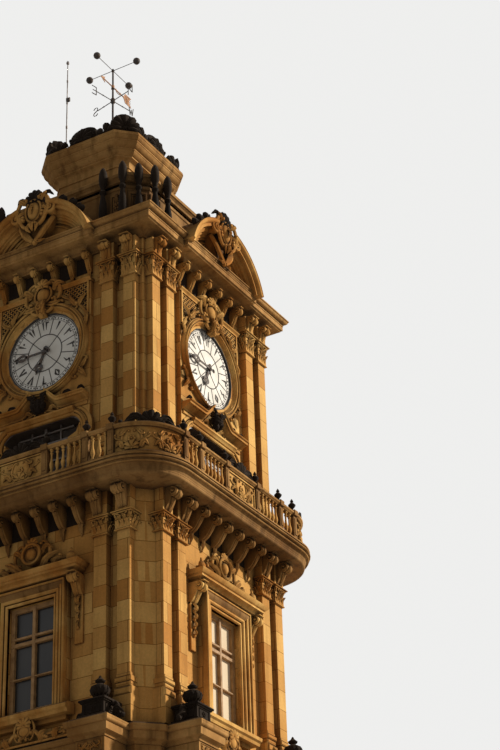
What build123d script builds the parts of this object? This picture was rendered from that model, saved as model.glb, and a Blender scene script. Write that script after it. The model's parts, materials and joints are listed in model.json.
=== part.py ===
"""A free-standing clock tower in carved stone, four storeys under a crowned roof.

Millimetres. The origin is the centre of the tower's foot on the ground, +Z is up and the entrance
side faces -Y. All four sides are alike above the ground storey, so most pieces are made for the
front and turned about the tower's axis.
"""

from build123d import *
import math
import os

os.makedirs("parts", exist_ok=True)

SIDES = {"front": 0, "right": 90, "back": 180, "left": 270}

# Heights above the ground.
FLOOR_GROUND = 510
PODIUM_WALL_TOP = 5700
PODIUM_CORNICE_RISE = 600
SECOND_WALL_RISE = 5600
ENTABLATURE_RISE = 1000
WINDOW_STOREY_RISE = 4550
SLAB_THICK = 370
CLOCK_STOREY_RISE = 5230
CORNICE_RISE = 510
ATTIC_RISE = 1390
DRUM_RISE = 1320
CAP_RISE = 680
DIAL_RISE = 3280
WHEEL_RISE = 1970
ARROW_RISE = 400
ROTOR_RISE = 470
PODIUM_TOP = PODIUM_WALL_TOP + PODIUM_CORNICE_RISE
SECOND_WALL_TOP = PODIUM_TOP + SECOND_WALL_RISE
SECOND_TOP = SECOND_WALL_TOP + ENTABLATURE_RISE
SLAB_UNDERSIDE = SECOND_TOP + WINDOW_STOREY_RISE
BALCONY_FLOOR = SLAB_UNDERSIDE + SLAB_THICK
CORNICE_UNDERSIDE = BALCONY_FLOOR + CLOCK_STOREY_RISE
CORNICE_TOP = CORNICE_UNDERSIDE + CORNICE_RISE
ATTIC_TOP = CORNICE_TOP + ATTIC_RISE
DRUM_TOP = ATTIC_TOP + DRUM_RISE
CAP_TOP = DRUM_TOP + CAP_RISE
DIAL_HEIGHT = BALCONY_FLOOR + DIAL_RISE
WHEEL_HEIGHT = CAP_TOP + WHEEL_RISE
ARROW_HEIGHT = WHEEL_HEIGHT + ARROW_RISE
ROTOR_HEIGHT = ARROW_HEIGHT + ROTOR_RISE

# Half widths of the four storeys' walls, their cut corners and wall thicknesses.
PODIUM_HALF = 3350
PODIUM_CUT = 500
PODIUM_WALL = 1300
SECOND_HALF = 2560
SECOND_CUT = 320
SECOND_WALL = 600
THIRD_HALF = 2480
THIRD_CUT = 300
THIRD_WALL = 550
CLOCK_HALF = 2300
CLOCK_CUT = 20
CLOCK_WALL = 550
ATTIC_HALF = 2100
ATTIC_CUT = 360
FLOOR_THICK = 250
FLOOR_BEARING = 240

# Steps and plinth at the foot.
STEP_RISE = 170
STEP_GOING = 320
STEP_COUNT = 3
STEP_REACH = 900
FOOT_HALF = PODIUM_HALF + STEP_REACH

# Pilasters in pairs beside each corner.
OUTER_PILASTER = 2065
INNER_PILASTER = 1550
PILASTER_WIDTH = 270
PILASTER_DEPTH = 150
BACKING_DEPTH = 60
CAPITAL_FLARE = 30

# Windows, the doorway and the balcony doors.
WINDOW_WIDTH = 1040
WINDOW_HEIGHT = 2090
WINDOW_SILL = SECOND_TOP + 660
SECOND_SILL = PODIUM_TOP + 1960
ARCHITRAVE = 300
ARCHITRAVE_DEPTH = 110
DOORWAY_WIDTH = 1500
DOORWAY_SPRING = 2900
NICHE_WIDTH = 1200
NICHE_SILL = 1900
NICHE_SPRING = 3300
BALCONY_DOOR_WIDTH = 1240
BALCONY_DOOR_TOP = BALCONY_FLOOR + 1860
LOBE_RADIUS = 290
LOBE_PLACE = 610
LOBE_HEIGHT = BALCONY_FLOOR + 1470
LOBE_SIDES = 8
ARCH_STEPS = 8
GLASS_THICK = 60
GLASS_INSET = 260
DOOR_THICK = 90
DOOR_INSET = 420

# The dials and their hands.
PANEL_HALF = 1120
PANEL_DEPTH = 100
DIAL_RADIUS = 870
DIAL_THICK = 30
DIAL_FACE = 2360
DIAL_SEAT = 90
RING_OUTER = 1090
RING_INNER = 850
RING_DEPTH = 130
HAND_THICK = 12
HOUR_PLANE = 2385
MINUTE_PLANE = 2412
HOUR_LENGTH = 500
MINUTE_LENGTH = 765
MINUTE_ARBOR = 12
HOUR_TUBE = 22
RUNNING_GAP = 0.5
SEAT_GAP = 0.3
DIAL_SIDES = 20
TUBE_SIDES = 8
MINUTE_ANGLE = 270
HOUR_ANGLE = 202.5

# The balcony and its balustrade.
RAIL_PLANE = 3030
SLAB_HALF = 3230
SLAB_CORNER = 1130
RAIL_CORNER = 930
RAIL_WIDTH = 170
RAIL_LOW_HEIGHT = 110
RAIL_TOP = BALCONY_FLOOR + 710
RAIL_CAP_HEIGHT = 90
POST_PLACES = (580, 1500, 2070)
POST_WIDTH = 130
BALUSTER_WIDTH = 70
BALUSTER_PITCH = 135
FINIAL_HEIGHT = 300
CORNER_STEPS = 3

# Consoles under the balcony and under the main cornice.
SLAB_CONSOLES = (210, 630, 1050, 1510, 2065)
CORNICE_CONSOLES = (210, 630, 1050)
CONSOLE_WIDTH = 150

# Columns of the second storey and the urns over them.
COLUMN_PLACE = 1800
COLUMN_REACH = 2960
COLUMN_RADIUS = 215
COLUMN_FOOT = PODIUM_TOP + 950
RESSAUT_HALF = 300
URN_HEIGHT = 440
URN_SIDES = 6
COLUMN_SIDES = 8

# The crown, mast and vane.
CAP_BASE = 943
CAP_CUT = 185
MAST_RADIUS = 25
COMPASS_ARM = 640
COMPASS_TURN = -13
MAST_SIDES = 8
ARROW_TAIL = 750
ARROW_TIP = 490
ROTOR_ARM = 650
CUP_RADIUS = 85
ROD_X = -450
ROD_Y = -1150
ROD_RADIUS = 14
ROD_TOP = CAP_TOP + 2550


def save(piece, name, turn=0):
    """Turn a finished piece about the tower's axis, label it and write its STEP file."""
    part = piece.part.rotate(Axis.Z, turn)
    part.label = name
    export_step(part, f"parts/{name}.step")


def plan(height, half, cut=0):
    """The tower's square plan at a height, with its corners cut off."""
    with BuildSketch(Plane.XY.offset(height)) as square:
        Rectangle(2 * half, 2 * half)
        if cut:
            chamfer(square.vertices(), cut)
    return square.sketch


def silhouette(points, shift=0):
    """The face of an outline of (distance from the axis, height), mirrored to both sides."""
    right = [(distance + shift, height) for distance, height in points]
    left = [(-distance, height) for distance, height in reversed(right)]
    with BuildSketch(Plane.XZ) as face:
        with BuildLine():
            Polyline(*right, *left, close=True)
        make_face()
    return face.sketch


def bow(centre, radius, start, end, steps):
    """The corners of an arc made of straight facets, between two angles in degrees."""
    corners = []
    for step in range(steps + 1):
        angle = math.radians(start + (end - start) * step / steps)
        corners.append(
            (centre[0] + radius * math.cos(angle), centre[1] + radius * math.sin(angle))
        )
    return corners


def faceted(rings, sides, centre=(0, 0)):
    """A many-sided upright solid through rings of (radius, height)."""
    with BuildPart() as stack:
        for radius, height in rings:
            with BuildSketch(Plane.XY.offset(height)):
                with Locations(centre):
                    RegularPolygon(radius, sides)
        loft(ruled=True)
    return stack.part


def polygon(plane, corners):
    """A face with straight edges, drawn on a plane."""
    with BuildSketch(plane) as face:
        with BuildLine():
            Polyline(*corners, close=True)
        make_face()
    return face.sketch


def moulded(points, diagonal=None):
    """A solid whose four sides follow one outline, and its cut corners too where given."""
    reach = 2 * max(point[0] for point in points)
    with BuildPart() as block:
        extrude(silhouette(points), amount=reach, both=True)
        extrude(silhouette(points).rotate(Axis.Z, 90), amount=reach, both=True, mode=Mode.INTERSECT)
        if diagonal is not None:
            for turn in (45, 135):
                extrude(
                    silhouette(points, diagonal).rotate(Axis.Z, turn),
                    amount=reach,
                    both=True,
                    mode=Mode.INTERSECT,
                )
    return block.part


def diagonal_shift(half, cut):
    """How much further out a cut corner's face lies than the sides' faces."""
    return (2 * half - cut) / math.sqrt(2) - half


def wall_block(low, high, half, cut, thick):
    """The front wall of a storey, mitred to its neighbours on the plan's diagonals."""
    inner = half - thick
    corner = half - cut / 2
    with BuildSketch(Plane.XY.offset(low)) as mitred:
        with BuildLine():
            Polyline(
                (-inner, -inner),
                (-corner, -corner),
                (-half + cut, -half),
                (half - cut, -half),
                (corner, -corner),
                (inner, -inner),
                close=True,
            )
        make_face()
    extrude(mitred.sketch, amount=high - low)


def pilasters(low, high, half, places, depth=PILASTER_DEPTH, capital=360):
    """Pilasters on the front wall, each a shaft and the block of its capital."""
    bands = (
        (low, high - capital, 0),
        (high - capital, high, CAPITAL_FLARE),
    )
    for start, end, flare in bands:
        with BuildSketch(Plane.XZ.offset(half - 1)) as faces:
            for place in places:
                with Locations((place, (start + end) / 2), (-place, (start + end) / 2)):
                    Rectangle(PILASTER_WIDTH + 2 * flare, end - start)
        extrude(faces.sketch, amount=depth + flare + 1)


def rectangle_opening(half, thick, width, low, high):
    """A rectangular opening cut through the front wall."""
    with BuildSketch(Plane.XZ.offset(half + PILASTER_DEPTH)) as opening:
        with Locations((0, (low + high) / 2)):
            Rectangle(width, high - low)
    extrude(opening.sketch, amount=-(thick + 2 * PILASTER_DEPTH), mode=Mode.SUBTRACT)


def arch_face(width, low, spring):
    """A round arched opening as a face: straight sides up to the springing, then a half round."""
    head = bow((0, spring), width / 2, 0, 180, ARCH_STEPS)
    return polygon(Plane.XZ, [(-width / 2, low), (width / 2, low), *head])


def frame_moulding(half, width, low, high, border=ARCHITRAVE, depth=ARCHITRAVE_DEPTH):
    """A flat raised border around a rectangular opening, on the front wall."""
    with BuildSketch(Plane.XZ.offset(half - 1)) as surround:
        with Locations((0, (low + high) / 2)):
            Rectangle(width + 2 * border, high - low + 2 * border)
    extrude(surround.sketch, amount=depth + 1)


# Three steps and the floor they carry, one solid foot of masonry.
with BuildPart() as foot:
    for step in range(STEP_COUNT):
        extrude(plan(step * STEP_RISE, FOOT_HALF - step * STEP_GOING), amount=STEP_RISE)
save(foot, "base_steps")

# The ground storey: thick walls, a doorway in front and arched windows on the other sides.
PLINTH_HEIGHT = 900
PLINTH_DEPTH = 120
for side, turn in SIDES.items():
    with BuildPart() as wall:
        wall_block(FLOOR_GROUND, PODIUM_WALL_TOP, PODIUM_HALF, PODIUM_CUT, PODIUM_WALL)
        with BuildSketch(Plane.XZ.offset(PODIUM_HALF - 1)):
            with Locations((0, FLOOR_GROUND + PLINTH_HEIGHT / 2)):
                Rectangle(2 * (PODIUM_HALF - PODIUM_CUT), PLINTH_HEIGHT)
        extrude(amount=PLINTH_DEPTH + 1)
        if side == "front":
            opening = arch_face(DOORWAY_WIDTH, FLOOR_GROUND, DOORWAY_SPRING)
            border = arch_face(DOORWAY_WIDTH + 2 * ARCHITRAVE, FLOOR_GROUND, DOORWAY_SPRING)
        else:
            opening = arch_face(NICHE_WIDTH, NICHE_SILL, NICHE_SPRING)
            border = arch_face(NICHE_WIDTH + 2 * ARCHITRAVE, NICHE_SILL - ARCHITRAVE, NICHE_SPRING)
        extrude(border, amount=PODIUM_HALF + ARCHITRAVE_DEPTH + PLINTH_DEPTH / 2)
        extrude(border, amount=PODIUM_HALF - PODIUM_WALL, mode=Mode.SUBTRACT)
        extrude(opening, amount=PODIUM_HALF + PODIUM_WALL, mode=Mode.SUBTRACT)
    save(wall, f"podium_wall_{side}", turn)

# The cornice that closes the ground storey, with a rebate for the floor above.
PODIUM_CORNICE = (
    (PODIUM_HALF + 30, PODIUM_WALL_TOP),
    (PODIUM_HALF + 30, PODIUM_WALL_TOP + 260),
    (PODIUM_HALF + 90, PODIUM_WALL_TOP + 370),
    (PODIUM_HALF + 200, PODIUM_WALL_TOP + 420),
    (PODIUM_HALF + 260, PODIUM_WALL_TOP + 420),
    (PODIUM_HALF + 260, PODIUM_TOP - 70),
    (PODIUM_HALF + 200, PODIUM_TOP),
)
with BuildPart() as podium_cornice:
    add(moulded(PODIUM_CORNICE, diagonal_shift(PODIUM_HALF, PODIUM_CUT)))
    inner = PODIUM_HALF - PODIUM_WALL
    extrude(plan(PODIUM_WALL_TOP, inner), amount=PODIUM_TOP - PODIUM_WALL_TOP, mode=Mode.SUBTRACT)
    extrude(
        plan(PODIUM_TOP - FLOOR_THICK, inner + FLOOR_BEARING), amount=FLOOR_THICK, mode=Mode.SUBTRACT
    )
save(podium_cornice, "podium_cornice")

with BuildPart() as second_floor:
    extrude(plan(PODIUM_TOP - FLOOR_THICK, inner + FLOOR_BEARING), amount=FLOOR_THICK)
save(second_floor, "second_floor")


def window_wall(low, high, half, cut, thick, sill, places, depth):
    """One wall of a storey with a tall window between its pilasters."""
    wall_block(low, high, half, cut, thick)
    pilasters(low, high, half, places, depth, capital=830)
    frame_moulding(half, WINDOW_WIDTH, sill, sill + WINDOW_HEIGHT)
    rectangle_opening(half, thick, WINDOW_WIDTH, sill, sill + WINDOW_HEIGHT)


for side, turn in SIDES.items():
    with BuildPart() as wall:
        window_wall(
            PODIUM_TOP,
            SECOND_WALL_TOP,
            SECOND_HALF,
            SECOND_CUT,
            SECOND_WALL,
            SECOND_SILL,
            (COLUMN_PLACE,),
            BACKING_DEPTH,
        )
    save(wall, f"second_wall_{side}", turn)


def column_places():
    """Two places in front of each wall, seen from above."""
    front = [(-COLUMN_PLACE, -COLUMN_REACH), (COLUMN_PLACE, -COLUMN_REACH)]
    spots = []
    for turn in SIDES.values():
        cosine = round(math.cos(math.radians(turn)))
        sine = round(math.sin(math.radians(turn)))
        spots += [(x * cosine - y * sine, x * sine + y * cosine) for x, y in front]
    return spots


# Free-standing columns on pedestals, two before each wall of the second storey.
CAPITAL_HEIGHT = 480
BASE_HEIGHT = 220
with BuildPart() as column:
    with BuildSketch(Plane.XY.offset(PODIUM_TOP)):
        Rectangle(2 * RESSAUT_HALF, 2 * RESSAUT_HALF)
    extrude(amount=COLUMN_FOOT - PODIUM_TOP)
    shaft = (
        (COLUMN_RADIUS + 70, COLUMN_FOOT),
        (COLUMN_RADIUS, COLUMN_FOOT + BASE_HEIGHT),
        (COLUMN_RADIUS * 0.86, SECOND_WALL_TOP - CAPITAL_HEIGHT),
        (COLUMN_RADIUS + 50, SECOND_WALL_TOP - 90),
    )
    add(faceted(shaft, COLUMN_SIDES))
    with BuildSketch(Plane.XY.offset(SECOND_WALL_TOP - 90)):
        Rectangle(2 * COLUMN_RADIUS + 110, 2 * COLUMN_RADIUS + 110)
    extrude(amount=90)
with BuildPart() as columns:
    with Locations(*column_places()):
        add(column.part)
save(columns, "second_storey_columns")

# The second storey's entablature breaks forward over every column.
SECOND_CORNICE = (
    (SECOND_HALF + 30, SECOND_WALL_TOP),
    (SECOND_HALF + 30, SECOND_WALL_TOP + 560),
    (SECOND_HALF + 60, SECOND_WALL_TOP + 660),
    (SECOND_HALF + 130, SECOND_WALL_TOP + 700),
    (SECOND_HALF + 180, SECOND_WALL_TOP + 700),
    (SECOND_HALF + 180, SECOND_TOP - 140),
    (SECOND_HALF + 60, SECOND_TOP),
)
RESSAUT_BANDS = ((0, 650, 0), (650, 1000, 80))
with BuildPart() as second_entablature:
    add(moulded(SECOND_CORNICE, diagonal_shift(SECOND_HALF, SECOND_CUT)))
    for low, high, flare in RESSAUT_BANDS:
        for x, y in column_places():
            side_reach = RESSAUT_HALF + flare
            with BuildSketch(Plane.XY.offset(SECOND_WALL_TOP + low)):
                with Locations((x, y)):
                    Rectangle(2 * side_reach, 2 * side_reach)
            extrude(amount=high - low)
            with BuildSketch(Plane.XY.offset(SECOND_WALL_TOP + low)):
                if abs(y) > abs(x):
                    with Locations((x, math.copysign(SECOND_HALF, y))):
                        Rectangle(2 * side_reach, 2 * RESSAUT_HALF)
                else:
                    with Locations((math.copysign(SECOND_HALF, x), y)):
                        Rectangle(2 * RESSAUT_HALF, 2 * side_reach)
            extrude(amount=high - low)
    inner = SECOND_HALF - SECOND_WALL
    extrude(plan(SECOND_WALL_TOP, inner), amount=SECOND_TOP - SECOND_WALL_TOP, mode=Mode.SUBTRACT)
    extrude(
        plan(SECOND_TOP - FLOOR_THICK, inner + FLOOR_BEARING), amount=FLOOR_THICK, mode=Mode.SUBTRACT
    )
save(second_entablature, "second_entablature")

with BuildPart() as third_floor:
    extrude(plan(SECOND_TOP - FLOOR_THICK, inner + FLOOR_BEARING), amount=FLOOR_THICK)
save(third_floor, "third_floor")

# Urns on small pedestals over the columns.
URN_PEDESTAL = 360
with BuildPart() as urn:
    with BuildSketch(Plane.XY.offset(SECOND_TOP)):
        Rectangle(520, 520)
    extrude(amount=URN_PEDESTAL)
    bowl = SECOND_TOP + URN_PEDESTAL
    bowl_rings = (
        (150, bowl),
        (60, bowl + 90),
        (240, bowl + 210),
        (12, bowl + URN_HEIGHT),
    )
    add(faceted(bowl_rings, URN_SIDES))
with BuildPart() as urns:
    with Locations(*column_places()):
        add(urn.part)
save(urns, "urns")

# The window storey under the balcony.
for side, turn in SIDES.items():
    with BuildPart() as wall:
        window_wall(
            SECOND_TOP,
            SLAB_UNDERSIDE,
            THIRD_HALF,
            THIRD_CUT,
            THIRD_WALL,
            WINDOW_SILL,
            (INNER_PILASTER, OUTER_PILASTER - 5),
            PILASTER_DEPTH,
        )
    save(wall, f"window_wall_{side}", turn)


# A cornice hood on two scroll brackets over each tall window.
HOOD_HALF = 1160
HOOD_RISE = 330
HOOD_DEPTH = 400
HOOD_HEIGHT = 210


def window_hood(sill, half):
    """One window hood on the front wall, with the brackets that carry it."""
    low = sill + WINDOW_HEIGHT + HOOD_RISE
    face = half + ARCHITRAVE_DEPTH
    with BuildPart() as hood:
        for start, rise, reach in ((0, 90, 280), (90, 120, HOOD_DEPTH)):
            with BuildSketch(Plane.XZ.offset(half)):
                with Locations((0, low + start + rise / 2)):
                    Rectangle(2 * (HOOD_HALF - HOOD_DEPTH + reach), rise)
            extrude(amount=reach)
        for place in (-1, 1):
            outer = place * (WINDOW_WIDTH / 2 + ARCHITRAVE + 90) - 70
            bracket_side = polygon(
                Plane.YZ.offset(outer),
                [
                    (-half, low - 620),
                    (-half, low),
                    (-face - 200, low),
                    (-face - 200, low - 120),
                    (-face - 70, low - 360),
                ],
            )
            extrude(bracket_side, amount=140)
    return hood.part


with BuildPart() as hoods:
    for sill, half in ((WINDOW_SILL, THIRD_HALF), (SECOND_SILL, SECOND_HALF)):
        with PolarLocations(0, len(SIDES)):
            add(window_hood(sill, half))
save(hoods, "window_hoods")

# Glazed window frames, one pane and frame to each opening.
GLASS_FIT = 1
with BuildPart() as glazing:
    for sill, half in ((WINDOW_SILL, THIRD_HALF), (SECOND_SILL, SECOND_HALF)):
        with BuildSketch(Plane.XZ.offset(half - GLASS_INSET)) as pane:
            with Locations((0, sill + WINDOW_HEIGHT / 2)):
                Rectangle(WINDOW_WIDTH, WINDOW_HEIGHT)
        with PolarLocations(0, len(SIDES)):
            add(extrude(pane.sketch, amount=-GLASS_THICK, mode=Mode.PRIVATE))
    arched = arch_face(NICHE_WIDTH, NICHE_SILL, NICHE_SPRING).moved(
        Location((0, -(PODIUM_HALF - DOOR_INSET), 0))
    )
    arched_pane = extrude(arched, amount=-GLASS_THICK, mode=Mode.PRIVATE)
    for turn in (90, 180, 270):
        add(arched_pane.rotate(Axis.Z, turn))
save(glazing, "window_glazing")

# The entrance door, two leaves closed in the doorway.
with BuildPart() as door:
    leaves = arch_face(DOORWAY_WIDTH, FLOOR_GROUND, DOORWAY_SPRING)
    extrude(leaves.moved(Location((0, -(PODIUM_HALF - DOOR_INSET), 0))), amount=-DOOR_THICK)
save(door, "entrance_door")

# The balcony slab, which is also the clock room's floor, with rounded corners.
SLAB_BANDS = ((0, 110, -170), (110, 130, -80), (240, 130, 0))


def rounded_plan(half, corner):
    """The corners of a square plan whose own corners are bows of straight facets."""
    corners = []
    for x, y, start in ((1, -1, -90), (1, 1, 0), (-1, 1, 90), (-1, -1, 180)):
        middle = ((half - corner) * x, (half - corner) * y)
        corners += bow(middle, corner, start, start + 90, CORNER_STEPS)
    return corners


with BuildPart() as slab:
    for start, rise, grow in SLAB_BANDS:
        band = polygon(
            Plane.XY.offset(SLAB_UNDERSIDE + start),
            rounded_plan(SLAB_HALF + grow, SLAB_CORNER + grow),
        )
        extrude(band, amount=rise)
save(slab, "balcony_slab")


def console(low, high, back, reach, curl):
    """A scroll bracket drawn as facets in the Y, Z plane, from its wall outwards."""
    front = -back - reach
    side_face = polygon(
        Plane.YZ.offset(-CONSOLE_WIDTH / 2),
        [
            (-back, low),
            (-back, high),
            (front, high),
            (front, high - curl),
        ],
    )
    return extrude(side_face, amount=CONSOLE_WIDTH, mode=Mode.PRIVATE)


with BuildPart() as slab_consoles:
    for place in SLAB_CONSOLES:
        on_pilaster = place > SLAB_CONSOLES[2]
        back = THIRD_HALF + (PILASTER_DEPTH + CAPITAL_FLARE if on_pilaster else 0)
        bracket = console(SLAB_UNDERSIDE - 420, SLAB_UNDERSIDE, back, 2990 - back - 40, 160)
        for hand in (-1, 1):
            with PolarLocations(0, len(SIDES)):
                add(bracket.moved(Location((hand * place, 0, 0))))
save(slab_consoles, "balcony_consoles")


def baluster_places():
    """Places of the balusters along half a side, between the posts but not in the middle panel."""
    places = []
    for start, end in zip(POST_PLACES, POST_PLACES[1:]):
        clear = end - start - POST_WIDTH
        count = max(1, int(clear / BALUSTER_PITCH))
        pitch = clear / count
        places += [start + POST_WIDTH / 2 + pitch * (index + 0.5) for index in range(count)]
    return places


# Each side's balustrade: two rails, posts, balusters and a carved panel in the middle.
RAIL_LOW_TOP = BALCONY_FLOOR + RAIL_LOW_HEIGHT
RAIL_CAP_LOW = RAIL_TOP - RAIL_CAP_HEIGHT
SIDE_REACH = POST_PLACES[-1] + POST_WIDTH / 2
for side, turn in SIDES.items():
    with BuildPart() as balustrade:
        with Locations((0, -RAIL_PLANE, BALCONY_FLOOR + RAIL_LOW_HEIGHT / 2)):
            Box(2 * SIDE_REACH, RAIL_WIDTH, RAIL_LOW_HEIGHT)
        with Locations((0, -RAIL_PLANE, RAIL_TOP - RAIL_CAP_HEIGHT / 2)):
            Box(2 * SIDE_REACH, RAIL_WIDTH, RAIL_CAP_HEIGHT)
        for place in POST_PLACES:
            with Locations(
                (place, -RAIL_PLANE, (RAIL_LOW_TOP + RAIL_CAP_LOW) / 2),
                (-place, -RAIL_PLANE, (RAIL_LOW_TOP + RAIL_CAP_LOW) / 2),
            ):
                Box(POST_WIDTH, POST_WIDTH, RAIL_CAP_LOW - RAIL_LOW_TOP)
        with Locations((0, -RAIL_PLANE, (RAIL_LOW_TOP + RAIL_CAP_LOW) / 2)):
            Box(2 * POST_PLACES[0] - POST_WIDTH, POST_WIDTH / 2, RAIL_CAP_LOW - RAIL_LOW_TOP)
        for place in baluster_places():
            for hand in (-1, 1):
                middle = (RAIL_LOW_TOP + RAIL_CAP_LOW) / 2
                with Locations((hand * place, -RAIL_PLANE, middle)):
                    Box(BALUSTER_WIDTH, BALUSTER_WIDTH, RAIL_CAP_LOW - RAIL_LOW_TOP)
    save(balustrade, f"balustrade_{side}", turn)

# Carved panels that follow the balcony's rounded corners between the same two rails.
with BuildPart() as corner_panel:
    heights = (
        (BALCONY_FLOOR, RAIL_LOW_TOP, RAIL_WIDTH),
        (RAIL_LOW_TOP, RAIL_CAP_LOW, POST_WIDTH / 2),
        (RAIL_CAP_LOW, RAIL_TOP, RAIL_WIDTH),
    )
    bend = RAIL_PLANE - SIDE_REACH
    for low, high, thick in heights:
        outer = bow((SIDE_REACH, -SIDE_REACH), bend + thick / 2, -90, 0, CORNER_STEPS)
        inner = bow((SIDE_REACH, -SIDE_REACH), bend - thick / 2, 0, -90, CORNER_STEPS)
        extrude(polygon(Plane.XY.offset(low), [*outer, *inner]), amount=high - low)
with BuildPart() as corner_panels:
    with PolarLocations(0, len(SIDES)):
        add(corner_panel.part)
save(corner_panels, "balustrade_corners")

# Dark spade-shaped finials on every post.
FINIAL_RINGS = ((36, 0), (78, 150), (5, FINIAL_HEIGHT))
finial = faceted([(radius, RAIL_TOP + rise) for radius, rise in FINIAL_RINGS], 4)
with BuildPart() as finials:
    for place in POST_PLACES:
        for hand in (-1, 1):
            with PolarLocations(0, len(SIDES)):
                add(finial.moved(Location((hand * place, -RAIL_PLANE, 0))))
save(finials, "balustrade_finials")

# The clock storey's walls: a raised panel with the dial's seat over the balcony door.
for side, turn in SIDES.items():
    with BuildPart() as wall:
        wall_block(BALCONY_FLOOR, CORNICE_UNDERSIDE, CLOCK_HALF, CLOCK_CUT, CLOCK_WALL)
        pilasters(
            BALCONY_FLOOR,
            CORNICE_UNDERSIDE,
            CLOCK_HALF,
            (INNER_PILASTER, OUTER_PILASTER),
            capital=860,
        )
        with BuildSketch(Plane.XZ.offset(CLOCK_HALF - 1)):
            with Locations((0, (BALCONY_FLOOR + CORNICE_UNDERSIDE - 600) / 2)):
                Rectangle(2 * PANEL_HALF, CORNICE_UNDERSIDE - 600 - BALCONY_FLOOR)
        extrude(amount=PANEL_DEPTH + 1)
        with BuildSketch(Plane.XZ.offset(CLOCK_HALF + PANEL_DEPTH)):
            with Locations((0, DIAL_HEIGHT)):
                RegularPolygon(DIAL_RADIUS, DIAL_SIDES)
        extrude(amount=-(CLOCK_HALF + PANEL_DEPTH - DIAL_FACE + DIAL_THICK), mode=Mode.SUBTRACT)
        with BuildSketch(Plane.XZ.offset(CLOCK_HALF + PANEL_DEPTH)):
            with Locations((0, DIAL_HEIGHT)):
                RegularPolygon(DIAL_RADIUS - DIAL_SEAT, DIAL_SIDES)
            with Locations((0, (BALCONY_FLOOR + BALCONY_DOOR_TOP) / 2)):
                Rectangle(BALCONY_DOOR_WIDTH, BALCONY_DOOR_TOP - BALCONY_FLOOR)
            with Locations((-LOBE_PLACE, LOBE_HEIGHT), (LOBE_PLACE, LOBE_HEIGHT)):
                RegularPolygon(LOBE_RADIUS, LOBE_SIDES)
        extrude(amount=-(CLOCK_WALL + 2 * PANEL_DEPTH), mode=Mode.SUBTRACT)
    save(wall, f"clock_wall_{side}", turn)

# Doors to the balcony, set back in their lobed openings.
with BuildPart() as balcony_doors:
    with BuildSketch(Plane.XZ.offset(CLOCK_HALF - GLASS_INSET)) as door_face:
        with Locations((0, (BALCONY_FLOOR + BALCONY_DOOR_TOP) / 2)):
            Rectangle(BALCONY_DOOR_WIDTH, BALCONY_DOOR_TOP - BALCONY_FLOOR)
        with Locations((-LOBE_PLACE, LOBE_HEIGHT), (LOBE_PLACE, LOBE_HEIGHT)):
            RegularPolygon(LOBE_RADIUS, LOBE_SIDES)
    with PolarLocations(0, len(SIDES)):
        add(extrude(door_face.sketch, amount=-GLASS_THICK, mode=Mode.PRIVATE))
save(balcony_doors, "balcony_doors")

# Moulded stone rings around the dials.
with BuildPart() as ring:
    with BuildSketch(Plane.XZ.offset(CLOCK_HALF + PANEL_DEPTH)):
        with Locations((0, DIAL_HEIGHT)):
            RegularPolygon(RING_OUTER, DIAL_SIDES)
            RegularPolygon(RING_INNER, DIAL_SIDES, mode=Mode.SUBTRACT)
    extrude(amount=RING_DEPTH)
with BuildPart() as rings:
    with PolarLocations(0, len(SIDES)):
        add(ring.part)
save(rings, "dial_surrounds")

# The opal dials in their seats, each bored for the hands' arbors.
with BuildPart() as dials:
    with BuildSketch(Plane.XZ.offset(DIAL_FACE)) as dial_face:
        with Locations((0, DIAL_HEIGHT)):
            RegularPolygon(DIAL_RADIUS, DIAL_SIDES)
            RegularPolygon(
                HOUR_TUBE + RUNNING_GAP, TUBE_SIDES, major_radius=False, mode=Mode.SUBTRACT
            )
    with PolarLocations(0, len(SIDES)):
        add(extrude(dial_face.sketch, amount=-DIAL_THICK, mode=Mode.PRIVATE))
save(dials, "clock_dials")


def hand_outline(length, tail, broad):
    """A spade hand that points up from the arbor, as a face about the origin."""
    spade = length * 0.72
    right = [
        (0.50 * broad, -tail),
        (0.40 * broad, spade - 1.2 * broad),
        (1.15 * broad, spade - 0.75 * broad),
        (1.45 * broad, spade),
        (0.35 * broad, spade + 1.6 * broad),
    ]
    left = [(-across, up) for across, up in reversed(right)]
    with BuildSketch() as outline:
        with BuildLine():
            Polyline(*right, (0, length), *left, close=True)
        make_face()
        RegularPolygon(2.4 * HOUR_TUBE, TUBE_SIDES)
    return outline.sketch


def clock_plane(distance, angle):
    """A plane on the front dial, its Y axis turned clockwise from twelve as seen from outside."""
    turned = math.radians(angle)
    across = (math.cos(turned), 0, -math.sin(turned))
    return Plane(origin=(0, -distance, DIAL_HEIGHT), x_dir=across, z_dir=(0, -1, 0))


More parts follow.
